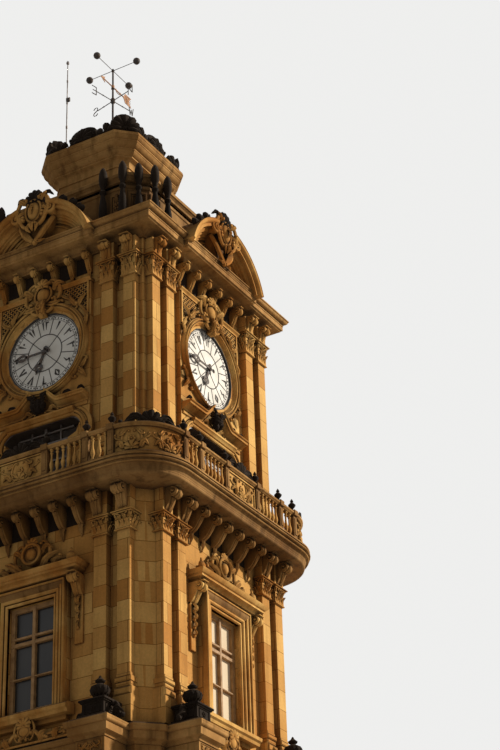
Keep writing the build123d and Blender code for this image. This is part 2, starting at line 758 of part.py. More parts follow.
# The hour hands turn on tubes through the dials, and the minute hands' arbors run inside them.
for side, turn in SIDES.items():
    with BuildPart() as hour_hand:
        with BuildSketch(clock_plane(HOUR_PLANE, HOUR_ANGLE)):
            add(hand_outline(HOUR_LENGTH, 130, 52))
        extrude(amount=HAND_THICK)
        with BuildSketch(clock_plane(DIAL_FACE - DIAL_THICK - 10, 0)):
            RegularPolygon(HOUR_TUBE, TUBE_SIDES)
        extrude(amount=HOUR_PLANE - DIAL_FACE + DIAL_THICK + 10 + HAND_THICK)
        with BuildSketch(clock_plane(DIAL_FACE + SEAT_GAP, 0)):
            RegularPolygon(1.6 * HOUR_TUBE, TUBE_SIDES)
        extrude(amount=MINUTE_PLANE - DIAL_FACE - 2 * SEAT_GAP)
        with BuildSketch(clock_plane(DIAL_FACE - DIAL_THICK - 10, 0)):
            RegularPolygon(MINUTE_ARBOR + RUNNING_GAP, TUBE_SIDES, major_radius=False)
        extrude(amount=200, mode=Mode.SUBTRACT)
    save(hour_hand, f"hour_hand_{side}", turn)

    with BuildPart() as minute_hand:
        with BuildSketch(clock_plane(MINUTE_PLANE, MINUTE_ANGLE)):
            add(hand_outline(MINUTE_LENGTH, 190, 40))
        extrude(amount=HAND_THICK)
        with BuildSketch(clock_plane(DIAL_FACE - DIAL_THICK - 30, 0)):
            RegularPolygon(MINUTE_ARBOR, TUBE_SIDES)
        extrude(amount=MINUTE_PLANE - DIAL_FACE + DIAL_THICK + 30 + HAND_THICK + 8)
    save(minute_hand, f"minute_hand_{side}", turn)

# Swan-neck hoods between each dial and its balcony door.
HOOD_RISE = 2030
HOOD_LINE = (
    (1080, BALCONY_FLOOR + HOOD_RISE),
    (700, BALCONY_FLOOR + HOOD_RISE),
    (430, BALCONY_FLOOR + HOOD_RISE + 140),
    (300, BALCONY_FLOOR + HOOD_RISE + 160),
)
HOOD_BAND = 120
NECK_DEPTH = 230
with BuildPart() as hood:
    for hand in (-1, 1):
        lower = [(hand * across, height) for across, height in HOOD_LINE]
        upper = [(across, height + HOOD_BAND) for across, height in reversed(lower)]
        neck = polygon(Plane.XZ.offset(CLOCK_HALF + PANEL_DEPTH), [*lower, *upper])
        extrude(neck, amount=NECK_DEPTH)
with BuildPart() as door_hoods:
    with PolarLocations(0, len(SIDES)):
        add(hood.part)
    add(rings.part, mode=Mode.SUBTRACT)
save(door_hoods, "door_hoods")

# The main cornice. Its middle breaks forward under each pediment, without the crown moulding.
BREAK_HALF = 1370
BREAK_DEPTH = 100
CORONA_RISE = 310
MAIN_CORNICE = (
    (CLOCK_HALF + 40, CORNICE_UNDERSIDE),
    (CLOCK_HALF + 40, CORNICE_UNDERSIDE + 60),
    (CLOCK_HALF + 100, CORNICE_UNDERSIDE + 150),
    (CLOCK_HALF + 300, CORNICE_UNDERSIDE + 200),
    (CLOCK_HALF + 385, CORNICE_UNDERSIDE + 200),
    (CLOCK_HALF + 385, CORNICE_UNDERSIDE + CORONA_RISE),
    (CLOCK_HALF + 487, CORNICE_UNDERSIDE + 404),
    (CLOCK_HALF + 487, CORNICE_UNDERSIDE + 450),
    (ATTIC_HALF, CORNICE_TOP),
)
BREAK_CORNICE = (*MAIN_CORNICE[:6], (ATTIC_HALF, CORNICE_UNDERSIDE + CORONA_RISE))
with BuildPart() as main_cornice:
    add(moulded(MAIN_CORNICE))
    for turn in (0, 90):
        broken = silhouette(BREAK_CORNICE, BREAK_DEPTH).rotate(Axis.Z, turn)
        extrude(broken, amount=BREAK_HALF, both=True)
    extrude(
        plan(CORNICE_UNDERSIDE, CLOCK_HALF - CLOCK_WALL),
        amount=CORNICE_TOP - CORNICE_UNDERSIDE,
        mode=Mode.SUBTRACT,
    )
save(main_cornice, "main_cornice")

# Scroll consoles between the pilasters, under the cornice.
with BuildPart() as cornice_consoles:
    bracket = console(CORNICE_UNDERSIDE - 380, CORNICE_UNDERSIDE, CLOCK_HALF, 290, 120)
    for place in CORNICE_CONSOLES:
        for hand in (-1, 1):
            with PolarLocations(0, len(SIDES)):
                add(bracket.moved(Location((hand * place, 0, 0))))
save(cornice_consoles, "cornice_consoles")

# Broken segmental pediments: an arched moulding with a cartouche in its gap.
PEDIMENT_RADIUS = 1465
PEDIMENT_CENTRE = CORNICE_UNDERSIDE - 120
PEDIMENT_BAND = 170
PEDIMENT_FRONT = 2950
PEDIMENT_RECESS = 400
BED_BAND = 200
BED_DEPTH = 100
PEDIMENT_GAP = 77
PEDIMENT_STEPS = 4
CARTOUCHE_HEIGHT = CORNICE_TOP + 690
CARTOUCHE_RADIUS = 300
CARTOUCHE_FRONT = 2960
CARTOUCHE_SIDES = 8
DRAPERY_FRONT = 2830


def spring_angle(radius):
    """The angle at which an arc of the pediment stands on the cornice's break."""
    return math.degrees(math.asin((CORNICE_UNDERSIDE + CORONA_RISE - PEDIMENT_CENTRE) / radius))


def arched_band(outer_radius, inner_radius, hand):
    """One side of the pediment's arch as (across, height) corners, between two radii."""
    middle = (0, PEDIMENT_CENTRE)
    outer = bow(middle, outer_radius, spring_angle(outer_radius), PEDIMENT_GAP, PEDIMENT_STEPS)
    inner = bow(middle, inner_radius, PEDIMENT_GAP, spring_angle(inner_radius), PEDIMENT_STEPS)
    return [(hand * across, height) for across, height in [*outer, *inner]]


with BuildPart() as pediment:
    back_radius = PEDIMENT_RADIUS - 40
    foot_angle = spring_angle(back_radius)
    tympanum = bow(
        (0, PEDIMENT_CENTRE), back_radius, foot_angle, 180 - foot_angle, 2 * PEDIMENT_STEPS
    )
    tympanum_front = PEDIMENT_FRONT - PEDIMENT_RECESS
    extrude(
        polygon(Plane.XZ.offset(ATTIC_HALF), tympanum),
        amount=tympanum_front - ATTIC_HALF,
    )
    crown_inner = PEDIMENT_RADIUS - PEDIMENT_BAND
    for hand in (-1, 1):
        crown = arched_band(PEDIMENT_RADIUS, crown_inner, hand)
        extrude(polygon(Plane.XZ.offset(ATTIC_HALF), crown), amount=PEDIMENT_FRONT - ATTIC_HALF)
        bed = arched_band(crown_inner, crown_inner - BED_BAND, hand)
        extrude(polygon(Plane.XZ.offset(ATTIC_HALF), bed), amount=tympanum_front + BED_DEPTH - ATTIC_HALF)
    with BuildSketch(Plane.XZ.offset(ATTIC_HALF)):
        with Locations((0, CARTOUCHE_HEIGHT)):
            RegularPolygon(CARTOUCHE_RADIUS, CARTOUCHE_SIDES)
        with Locations((0, CARTOUCHE_HEIGHT + 240)):
            RegularPolygon(CARTOUCHE_RADIUS - 60, CARTOUCHE_SIDES)
    extrude(amount=CARTOUCHE_FRONT - ATTIC_HALF)
    with BuildSketch(Plane.XZ.offset(ATTIC_HALF)):
        with BuildLine():
            Polyline(
                (-360, CARTOUCHE_HEIGHT - 200),
                (-90, CORNICE_TOP - 60),
                (90, CORNICE_TOP - 60),
                (360, CARTOUCHE_HEIGHT - 200),
                close=True,
            )
        make_face()
    extrude(amount=DRAPERY_FRONT - ATTIC_HALF)
    add(main_cornice.part, mode=Mode.SUBTRACT)
with BuildPart() as pediments:
    with PolarLocations(0, len(SIDES)):
        add(pediment.part)
save(pediments, "pediments")

# The attic behind the pediments.
ATTIC_OUTLINE = (
    (ATTIC_HALF, CORNICE_TOP),
    (ATTIC_HALF, ATTIC_TOP - 200),
    (ATTIC_HALF + 80, ATTIC_TOP - 110),
    (ATTIC_HALF + 80, ATTIC_TOP),
)
with BuildPart() as attic:
    add(moulded(ATTIC_OUTLINE, diagonal_shift(ATTIC_HALF, ATTIC_CUT)))
    extrude(plan(CORNICE_TOP, CLOCK_HALF - CLOCK_WALL), amount=ATTIC_TOP, mode=Mode.SUBTRACT)
    add(pediments.part, mode=Mode.SUBTRACT)
save(attic, "attic")

# Slender dark finials that stand on the main cornice in front of the attic's corners.
CORNICE_FINIAL_RINGS = (
    (62, CORNICE_TOP - 60),
    (62, ATTIC_TOP - 240),
    (30, ATTIC_TOP - 190),
    (75, ATTIC_TOP - 50),
    (8, ATTIC_TOP + 200),
)
FINIAL_OUT = ATTIC_HALF + 162
CUT_MIDDLE = ATTIC_HALF - ATTIC_CUT / 2 + 102
CUT_EDGE = ATTIC_HALF - ATTIC_CUT + 42
FINIAL_SPOTS = (
    (CUT_MIDDLE, -CUT_MIDDLE),
    (CUT_EDGE, -FINIAL_OUT),
    (-CUT_EDGE, -FINIAL_OUT),
    (1300, -FINIAL_OUT),
    (-1300, -FINIAL_OUT),
)
with BuildPart() as cornice_finials:
    slender = faceted(CORNICE_FINIAL_RINGS, 4)
    for place in FINIAL_SPOTS:
        with PolarLocations(0, len(SIDES)):
            add(slender.moved(Location((*place, 0))))
    add(main_cornice.part, mode=Mode.SUBTRACT)
    add(pediments.part, mode=Mode.SUBTRACT)
save(cornice_finials, "cornice_finials")

# The crown: a low stone roof, a drum and the great hollow moulding under its flat top.
CAP_OUTLINE = (
    (ATTIC_HALF + 40, ATTIC_TOP),
    (ATTIC_HALF + 40, ATTIC_TOP + 60),
    (CAP_BASE + 300, ATTIC_TOP + 160),
    (CAP_BASE - 13, ATTIC_TOP + 330),
    (CAP_BASE - 13, DRUM_TOP),
    (CAP_BASE, DRUM_TOP),
    (CAP_BASE + 40, DRUM_TOP + 150),
    (CAP_BASE + 120, DRUM_TOP + 230),
    (CAP_BASE + 150, DRUM_TOP + 230),
    (CAP_BASE + 190, DRUM_TOP + 330),
    (CAP_BASE + 225, DRUM_TOP + 370),
    (CAP_BASE + 283, DRUM_TOP + 464),
    (CAP_BASE + 283, DRUM_TOP + 540),
    (CAP_BASE + 350, DRUM_TOP + 600),
    (CAP_BASE + 350, CAP_TOP),
)
CAP_VOID = 650
with BuildPart() as cap:
    add(moulded(CAP_OUTLINE, diagonal_shift(CAP_BASE, CAP_CUT)))
    extrude(plan(ATTIC_TOP, CAP_VOID), amount=DRUM_TOP + 200 - ATTIC_TOP, mode=Mode.SUBTRACT)
save(cap, "crown_cap")

# Carved ornaments on the crown's edge: a cartouche over each side and a shell at each corner.
ORNAMENTS = ((0, CAP_BASE + 100, 375, 470, 190), (45, CAP_BASE + 330, 270, 580, 180))
with BuildPart() as ornament:
    for turn, distance, half_width, height, thick in ORNAMENTS:
        outline = [
            (-half_width, CAP_TOP),
            (half_width, CAP_TOP),
            (half_width * 0.92, CAP_TOP + height * 0.42),
            (half_width * 0.60, CAP_TOP + height * 0.80),
            (half_width * 0.22, CAP_TOP + height),
            (-half_width * 0.22, CAP_TOP + height),
            (-half_width * 0.60, CAP_TOP + height * 0.80),
            (-half_width * 0.92, CAP_TOP + height * 0.42),
        ]
        shape = extrude(polygon(Plane.XZ.offset(distance), outline), amount=thick, mode=Mode.PRIVATE)
        add(shape.rotate(Axis.Z, turn))
with BuildPart() as ornaments:
    with PolarLocations(0, len(SIDES)):
        add(ornament.part)
save(ornaments, "crown_ornaments")

# The mast with its fixed compass arms.
PIN_RADIUS = 12
with BuildPart() as mast:
    add(faceted(((160, CAP_TOP), (45, CAP_TOP + 260)), MAST_SIDES))
    add(faceted(((MAST_RADIUS, CAP_TOP + 260), (MAST_RADIUS, ROTOR_HEIGHT - 30)), MAST_SIDES))
    add(faceted(((PIN_RADIUS, ROTOR_HEIGHT - 30), (PIN_RADIUS, ROTOR_HEIGHT + 30)), MAST_SIDES))
    add(faceted(((55, WHEEL_HEIGHT - 45), (55, WHEEL_HEIGHT + 45)), MAST_SIDES))
    add(faceted(((40, ARROW_HEIGHT - 60), (40, ARROW_HEIGHT - 40)), MAST_SIDES))
    with BuildSketch(Plane.XY.offset(WHEEL_HEIGHT - 9)):
        Rectangle(2 * COMPASS_ARM, 18, rotation=COMPASS_TURN)
        Rectangle(18, 2 * COMPASS_ARM, rotation=COMPASS_TURN)
    extrude(amount=18)
save(mast, "vane_mast")

# The arrow turns on a collar that rests on the mast's shoulder.
with BuildPart() as arrow:
    with BuildSketch(Plane.XY.offset(ARROW_HEIGHT - 39.7)):
        RegularPolygon(42, MAST_SIDES)
    extrude(amount=80)
    with BuildSketch(Plane.YZ.offset(-7)):
        with BuildLine():
            Polyline(
                (-ARROW_TIP, ARROW_HEIGHT),
                (-ARROW_TIP + 170, ARROW_HEIGHT + 75),
                (-ARROW_TIP + 130, ARROW_HEIGHT + 14),
                (ARROW_TAIL - 300, ARROW_HEIGHT + 14),
                (ARROW_TAIL - 220, ARROW_HEIGHT + 130),
                (ARROW_TAIL, ARROW_HEIGHT + 130),
                (ARROW_TAIL - 80, ARROW_HEIGHT),
                (ARROW_TAIL, ARROW_HEIGHT - 130),
                (ARROW_TAIL - 220, ARROW_HEIGHT - 130),
                (ARROW_TAIL - 300, ARROW_HEIGHT - 14),
                (-ARROW_TIP + 130, ARROW_HEIGHT - 14),
                (-ARROW_TIP + 170, ARROW_HEIGHT - 75),
                close=True,
            )
        make_face()
    extrude(amount=14)
    with BuildSketch(Plane.XY.offset(ARROW_HEIGHT - 200)):
        RegularPolygon(MAST_RADIUS + RUNNING_GAP, MAST_SIDES, major_radius=False)
    extrude(amount=400, mode=Mode.SUBTRACT)
save(arrow, "wind_arrow")

# The cup rotor on the mast's pin.
CUP_RINGS = ((0.5, -1), (1, 0), (0.5, 1))
with BuildPart() as rotor:
    with BuildSketch(Plane.XY.offset(ROTOR_HEIGHT - 29.7)):
        RegularPolygon(34, MAST_SIDES)
    extrude(amount=80)
    with BuildSketch(Plane.XY.offset(ROTOR_HEIGHT - 7)):
        Rectangle(2 * ROTOR_ARM, 14)
        Rectangle(14, 2 * ROTOR_ARM)
    extrude(amount=14)
    cup = [(share * CUP_RADIUS, ROTOR_HEIGHT + rise * CUP_RADIUS) for share, rise in CUP_RINGS]
    with PolarLocations(ROTOR_ARM, 4):
        add(faceted(cup, 6))
    with BuildSketch(Plane.XY.offset(ROTOR_HEIGHT - 40)):
        RegularPolygon(PIN_RADIUS + RUNNING_GAP, MAST_SIDES, major_radius=False)
    extrude(amount=70.3, mode=Mode.SUBTRACT)
save(rotor, "anemometer_rotor")

# The lightning rod on the front edge of the crown.
with BuildPart() as rod:
    with Locations((ROD_X, ROD_Y, CAP_TOP)):
        Cylinder(ROD_RADIUS, ROD_TOP - CAP_TOP, align=(Align.CENTER, Align.CENTER, Align.MIN))
save(rod, "lightning_rod")
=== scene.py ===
# %% [markdown]
# # A carved stone clock tower
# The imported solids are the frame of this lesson: walls, floors, cornices, dials and hands already
# stand where they belong. What follows gives them stone, glass and iron, and adds the carving that
# a mason would cut last. One side of the tower is modelled at a time and then turned about the
# tower's axis, because all four sides are alike.

# %% Load the frame
import json
import math

import bmesh
import bpy
import numpy as np
from mathutils import Matrix, Vector

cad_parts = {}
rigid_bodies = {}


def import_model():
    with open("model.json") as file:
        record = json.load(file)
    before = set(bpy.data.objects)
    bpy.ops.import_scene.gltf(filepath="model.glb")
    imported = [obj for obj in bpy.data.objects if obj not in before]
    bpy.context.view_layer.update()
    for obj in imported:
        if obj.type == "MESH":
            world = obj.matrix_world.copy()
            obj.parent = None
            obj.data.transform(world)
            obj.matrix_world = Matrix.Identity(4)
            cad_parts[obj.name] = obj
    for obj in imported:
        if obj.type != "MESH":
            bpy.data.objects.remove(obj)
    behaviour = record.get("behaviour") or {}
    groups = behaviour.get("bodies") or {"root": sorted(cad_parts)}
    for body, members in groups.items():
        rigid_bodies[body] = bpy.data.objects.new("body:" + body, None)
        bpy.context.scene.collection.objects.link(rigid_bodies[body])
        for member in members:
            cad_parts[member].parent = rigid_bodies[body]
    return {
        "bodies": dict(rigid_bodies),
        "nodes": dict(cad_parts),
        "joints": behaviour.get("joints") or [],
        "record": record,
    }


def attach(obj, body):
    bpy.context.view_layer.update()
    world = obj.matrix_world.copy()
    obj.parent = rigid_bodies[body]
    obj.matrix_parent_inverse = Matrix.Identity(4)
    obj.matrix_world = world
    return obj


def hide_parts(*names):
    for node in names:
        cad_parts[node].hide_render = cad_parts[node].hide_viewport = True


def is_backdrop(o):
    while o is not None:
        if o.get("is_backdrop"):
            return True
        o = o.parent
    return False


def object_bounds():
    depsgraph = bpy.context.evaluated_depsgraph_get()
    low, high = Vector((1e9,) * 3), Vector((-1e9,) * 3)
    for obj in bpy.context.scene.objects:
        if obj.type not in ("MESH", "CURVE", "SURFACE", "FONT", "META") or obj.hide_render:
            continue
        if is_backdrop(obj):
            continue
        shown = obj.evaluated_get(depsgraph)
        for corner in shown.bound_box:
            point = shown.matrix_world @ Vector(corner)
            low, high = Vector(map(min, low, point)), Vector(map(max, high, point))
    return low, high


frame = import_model()
nodes = frame["nodes"]
cad_box = [list(corner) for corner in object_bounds()]
print("solids:", len(nodes), "height", round(cad_box[1][2], 2), "m")

# %% [markdown]
# ## The camera
# The photographer stands on the ground in front of the right-hand corner and tilts a long lens up
# by thirty degrees. The focal length and the three angles were solved from the tower's own level
# and upright edges, so the camera is written as numbers and not aimed by eye.

# %% Stand the camera on the ground
EYE = (19.80, -29.20, 1.565)
AZIMUTH = 0.5135
ELEVATION = 0.5179
ROLL = -0.0361
LENS_PER_HEIGHT = 1931.93 / 750

forward = Vector(
    (-math.sin(AZIMUTH) * math.cos(ELEVATION), math.cos(AZIMUTH) * math.cos(ELEVATION), math.sin(ELEVATION))
)
level = Vector((math.cos(AZIMUTH), math.sin(AZIMUTH), 0))
upright = level.cross(forward)
across = math.cos(ROLL) * level + math.sin(ROLL) * upright
above = -math.sin(ROLL) * level + math.cos(ROLL) * upright
camera_data = bpy.data.cameras.new("photographer")
camera_data.sensor_fit = "VERTICAL"
camera_data.sensor_height = 24
camera_data.lens = LENS_PER_HEIGHT * camera_data.sensor_height
camera_data.clip_end = 500
camera = bpy.data.objects.new("photographer", camera_data)
turned = Matrix((across, above, -forward)).transposed().to_4x4()
camera.matrix_world = Matrix.Translation(EYE) @ turned
bpy.context.scene.collection.objects.link(camera)
bpy.context.scene.camera = camera
print("lens", round(camera_data.lens, 2), "mm on a 24 mm high sensor")

# %% [markdown]
# ## Light and floor
# Carving only reads when light rakes over it, so one broad sun stands low on the right, a very
# soft second sun opens the far sides, and the sky fills the rest. The pale background and the pale
# floor come from the Is Camera Ray switch, so they add no light to the stone.

# %% Light the tower
SKY_FILL = 0.20
world = bpy.data.worlds.new("studio")
world.use_nodes = True
bpy.context.scene.world = world
sky = world.node_tree.nodes
sky.clear()
fill = sky.new("ShaderNodeBackground")
fill.inputs["Color"].default_value = (1.0, 0.96, 0.90, 1)
fill.inputs["Strength"].default_value = SKY_FILL
seen = sky.new("ShaderNodeBackground")
seen.inputs["Color"].default_value = (0.86, 0.86, 0.85, 1)
seen.inputs["Strength"].default_value = 1
light_path = sky.new("ShaderNodeLightPath")
either = sky.new("ShaderNodeMath")
either.operation = "MAXIMUM"
either_glass = sky.new("ShaderNodeMath")
either_glass.operation = "MAXIMUM"
switch = sky.new("ShaderNodeMixShader")
world_output = sky.new("ShaderNodeOutputWorld")
wire = world.node_tree.links.new
wire(light_path.outputs["Is Camera Ray"], either.inputs[0])
wire(light_path.outputs["Is Glossy Ray"], either.inputs[1])
wire(either.outputs[0], either_glass.inputs[0])
wire(light_path.outputs["Is Transmission Ray"], either_glass.inputs[1])
wire(either_glass.outputs[0], switch.inputs[0])
wire(fill.outputs[0], switch.inputs[1])
wire(seen.outputs[0], switch.inputs[2])
wire(switch.outputs[0], world_output.inputs["Surface"])


def shine(name, strength, angle, direction, colour):
    """Hang a sun whose light travels along a direction."""
    data = bpy.data.lights.new(name, "SUN")
    data.energy = strength
    data.angle = math.radians(angle)
    data.color = colour
    lamp = bpy.data.objects.new(name, data)
    lamp.rotation_euler = Vector(direction).to_track_quat("-Z", "Y").to_euler()
    bpy.context.scene.collection.objects.link(lamp)


shine("key", 4.5, 4, (-0.65, -0.58, -0.47), (1.0, 0.90, 0.76))
shine("opening", 0.80, 30, (0.55, -0.75, -0.35), (1.0, 0.95, 0.88))
bpy.context.scene.view_settings.view_transform = "Standard"

bpy.ops.mesh.primitive_plane_add(size=90, location=(0, 0, 0))
floor = bpy.context.object
floor.name = "studio_floor"
floor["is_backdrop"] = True
print("lights:", [light.name for light in bpy.data.lights])

# %% [markdown]
# ## Stone
# The walls are dressed limestone laid in courses about 40 cm high. Cream and ochre blocks were
# mixed as they came, and smoke has darkened every ledge; the hollows get painted shade in soot's colour.
# One set of nodes makes all of it: a Brick Texture sets out the blocks, two noises stain them, the face's
# own direction darkens what looks up, and Ambient Occlusion paints shade into the hollows between carvings.

# %% Build the stone finishes
CREAM = (0.84, 0.51, 0.165)
OCHRE = (0.49, 0.195, 0.038)
SOOT_AND_SHADE = (0.040, 0.027, 0.018)


def new_material(name):
    """Make an empty node material with its shader and return its nodes and a linking function."""
    material = bpy.data.materials.new(name)
    material.use_nodes = True
    tree = material.node_tree
    tree.nodes.clear()
    shader = tree.nodes.new("ShaderNodeBsdfPrincipled")
    output = tree.nodes.new("ShaderNodeOutputMaterial")
    tree.links.new(shader.outputs[0], output.inputs["Surface"])
    return material, tree.nodes, tree.links.new, shader


def blend_colours(add, link, factor, first, second, mode="MIX"):
    """Mix two colours; each may be a socket or a plain colour, and so may the factor."""
    mix = add("ShaderNodeMix")
    mix.data_type = "RGBA"
    mix.blend_type = mode
    mix.clamp_factor = True
    for socket, value in ((mix.inputs[0], factor), (mix.inputs[6], first), (mix.inputs[7], second)):
        if isinstance(value, bpy.types.NodeSocket):
            link(value, socket)
        elif isinstance(value, (int, float)):
            socket.default_value = value
        else:
            socket.default_value = (*value, 1)
    return mix.outputs[2]


def calculate(add, link, operation, *values):
    """One Math node; each value may be a socket or a number."""
    node = add("ShaderNodeMath")
    node.operation = operation
    for socket, value in zip(node.inputs, values):
        if isinstance(value, bpy.types.NodeSocket):
            link(value, socket)
        else:
            socket.default_value = value
    return node.outputs[0]


def spread(add, link, value, low, high, start=0.0, end=1.0):
    """Map a value from one range to another, held at both ends."""
    node = add("ShaderNodeMapRange")
    node.clamp = True
    link(value, node.inputs["Value"])
    for setting, limit in (("From Min", low), ("From Max", high), ("To Min", start), ("To Max", end)):
        node.inputs[setting].default_value = limit
    return node.outputs["Result"]


def cloud(add, link, where, scale, detail=4.0, roughness=0.55, stretch=None):
    """A noise in object space, drawn out along an axis where a stretch is given."""
    noise = add("ShaderNodeTexNoise")
    noise.inputs["Scale"].default_value = scale
    noise.inputs["Detail"].default_value = detail
    noise.inputs["Roughness"].default_value = roughness
    if stretch:
        mapping = add("ShaderNodeMapping")
        mapping.inputs["Scale"].default_value = stretch
        link(where, mapping.inputs["Vector"])
        where = mapping.outputs[0]
    link(where, noise.inputs["Vector"])
    return noise.outputs["Fac"]


def roughen(add, link, height, strength, distance, shader):
    """Bump a shader's normal by a height."""
    bump = add("ShaderNodeBump")
    bump.inputs["Strength"].default_value = strength
    bump.inputs["Distance"].default_value = distance
    link(height, bump.inputs["Height"])
    link(bump.outputs[0], shader.inputs["Normal"])


def darker(colour, share):
    """A share of a colour."""
    return tuple(share * value for value in colour)


def stone(name, cream=CREAM, ochre=OCHRE, courses=True, course=0.40, block=0.86, stain_and_shade=0.5, top=0.8):
    """A limestone finish: blocks or plain, stained in streaks, sooty on ledges and with painted shade in
    hollows.
    """
    material, tree_nodes, link, shader = new_material(name)
    add = tree_nodes.new
    where = add("ShaderNodeTexCoord").outputs["Object"]
    facing = add("ShaderNodeNewGeometry").outputs["Normal"]
    place = add("ShaderNodeSeparateXYZ")
    link(where, place.inputs[0])
    normal = add("ShaderNodeSeparateXYZ")
    link(facing, normal.inputs[0])

    patches = cloud(add, link, where, 0.9, 5.0)
    grain = cloud(add, link, where, 22.0, 6.0, 0.65)
    streaks = cloud(add, link, where, 1.0, 5.0, 0.6, (5.0, 5.0, 0.45))
    height = grain
    if courses:
        side_on = calculate(
            add, link, "GREATER_THAN", calculate(add, link, "ABSOLUTE", normal.outputs[0]),
            calculate(add, link, "ABSOLUTE", normal.outputs[1])
        )
        along = add("ShaderNodeMix")
        link(side_on, along.inputs[0])
        link(place.outputs[0], along.inputs[2])
        link(calculate(add, link, "ADD", place.outputs[1], 31.3), along.inputs[3])
        laid = add("ShaderNodeCombineXYZ")
        link(along.outputs[0], laid.inputs[0])
        link(place.outputs[2], laid.inputs[1])
        blocks = add("ShaderNodeTexBrick")
        for setting, value in (
            ("Scale", 1.0), ("Brick Width", block), ("Row Height", course), ("Mortar Size", 0.006),
            ("Mortar Smooth", 0.2), ("Bias", -0.15), ("Color1", (*cream, 1)), ("Color2", (*ochre, 1)),
            ("Mortar", (*darker(ochre, 0.45), 1))
        ):
            blocks.inputs[setting].default_value = value
        link(laid.outputs[0], blocks.inputs["Vector"])
        colour = blocks.outputs["Color"]
        joint = calculate(add, link, "MULTIPLY", blocks.outputs["Fac"], -1.2)
        height = calculate(add, link, "ADD", joint, grain)
    else:
        colour = blend_colours(add, link, spread(add, link, patches, 0.35, 0.65), cream, ochre)

    warm = spread(add, link, patches, 0.40, 0.66, 0.0, 0.35)
    colour = blend_colours(add, link, warm, colour, darker(ochre, 0.8))
    fine = spread(add, link, grain, 0.3, 0.7, 0.86, 1.08)
    fine_colour = add("ShaderNodeCombineXYZ")
    for socket in fine_colour.inputs:
        link(fine, socket)
    colour = blend_colours(add, link, 1.0, colour, fine_colour.outputs[0], "MULTIPLY")
    washed = spread(add, link, streaks, 0.50, 0.78, 0.0, stain_and_shade)
    colour = blend_colours(add, link, washed, colour, darker(ochre, 0.30))

    # Ambient Occlusion paints shade into the hollows, in soot's colour.
    occlusion_shade = add("ShaderNodeAmbientOcclusion")
    occlusion_shade.samples = 6
    occlusion_shade.inputs["Distance"].default_value = 0.30
    painted_shade_share = spread(add, link, occlusion_shade.outputs["AO"], 0.82, 0.22, 0.0, min(1.0, 0.35 + stain_and_shade))
    colour = blend_colours(add, link, painted_shade_share, colour, SOOT_AND_SHADE)
    ledge = spread(add, link, normal.outputs[2], 0.12, 0.75, 0.0, top)
    patchy = calculate(add, link, "MULTIPLY", ledge, spread(add, link, patches, 0.25, 0.5, 0.55, 1.0))
    colour = blend_colours(add, link, patchy, colour, SOOT_AND_SHADE)
    link(colour, shader.inputs["Base Color"])
    # Rough stone hardly shines, so the pale surroundings don't grey its colour.
    shader.inputs["Specular IOR Level"].default_value = 0.08
    link(spread(add, link, grain, 0.3, 0.7, 0.72, 0.95), shader.inputs["Roughness"])
    roughen(add, link, height, 0.35, 0.01, shader)
    return material


limestone = stone("limestone_courses", stain_and_shade=0.45)
rusticated = stone("podium_limestone", course=0.52, block=1.1, stain_and_shade=0.5)
moulded = stone("moulded_limestone", courses=False, stain_and_shade=0.55)
carved = stone("carved_limestone", courses=False, stain_and_shade=0.75, top=0.7)
# A darker copy of the stone: soot on the attic and crown, and painted shade on undersides, posts and friezes.
smoked_and_shaded = stone(
    "smoked_shaded_limestone", (0.42, 0.235, 0.085), (0.20, 0.095, 0.030), courses=False, stain_and_shade=0.95, top=0.95
)
# A darker copy of the stone for cornices, rails and brackets: weathering and painted shade.
weathered_and_shaded = stone(
    "weathered_shaded_limestone", (0.60, 0.34, 0.12), (0.32, 0.155, 0.045), courses=False, stain_and_shade=0.9, top=0.9
)
# Near-black stone: smoke-blackened carving, and painted shade on plates set in hollows and between brackets.
blackened_and_shade = stone(
    "blackened_and_shade_limestone", (0.034, 0.023, 0.016), (0.016, 0.011, 0.008), courses=False, stain_and_shade=1.0, top=1.0
)
print("stone finishes:", [m.name for m in (limestone, moulded, carved, weathered_and_shaded, smoked_and_shaded)])

# %% [markdown]
# ## Iron, opal glass, window glass and painted wood
# The dials are white opal glass lit from the sky, so they are matt with hardly any texture.
# The hands and the mast are black iron with a little rust. Window glass is nearly black where the
# rooms behind are dark, and painted pale on the sunny side as a painted reflection of the bright sky.


# %% Build the other finishes
def plain_finish(name, first, second, scale, roughness, metallic=0.0):
    """Two colours mixed by a noise, with a roughness and a bump from the same noise."""
    material, tree_nodes, link, shader = new_material(name)
    add = tree_nodes.new
    where = add("ShaderNodeTexCoord").outputs["Object"]
    noise = cloud(add, link, where, scale, 5.0)
    worn = spread(add, link, noise, 0.4, 0.68)
    link(blend_colours(add, link, worn, first, second), shader.inputs["Base Color"])
    link(spread(add, link, noise, 0.3, 0.7, roughness * 0.8, roughness * 1.2), shader.inputs["Roughness"])
    shader.inputs["Metallic"].default_value = metallic
    roughen(add, link, noise, 0.15, 0.004, shader)
    return material


opal = plain_finish("opal_glass", (0.88, 0.87, 0.83), (0.80, 0.78, 0.72), 3.0, 0.75)
dial_black = plain_finish("dial_enamel", (0.030, 0.027, 0.025), (0.05, 0.042, 0.036), 9.0, 0.8)
iron = plain_finish("black_iron", (0.025, 0.024, 0.024), (0.09, 0.055, 0.035), 14.0, 0.7, 0.3)
bright_iron = plain_finish("grey_iron", (0.16, 0.15, 0.15), (0.10, 0.07, 0.05), 12.0, 0.45, 0.8)
gilt = plain_finish("dull_gilt", (0.42, 0.21, 0.10), (0.26, 0.13, 0.07), 10.0, 0.75, 0.2)
paint = plain_finish("window_paint", (0.40, 0.225, 0.085), (0.24, 0.13, 0.05), 7.0, 0.7)
wood = plain_finish("door_paint", (0.085, 0.060, 0.042), (0.05, 0.035, 0.026), 6.0, 0.5)
ground, ground_nodes, ground_link, ground_shader = new_material("studio_paper")
ground_shader.inputs["Roughness"].default_value = 0.9
straight = ground_nodes.new("ShaderNodeLightPath")
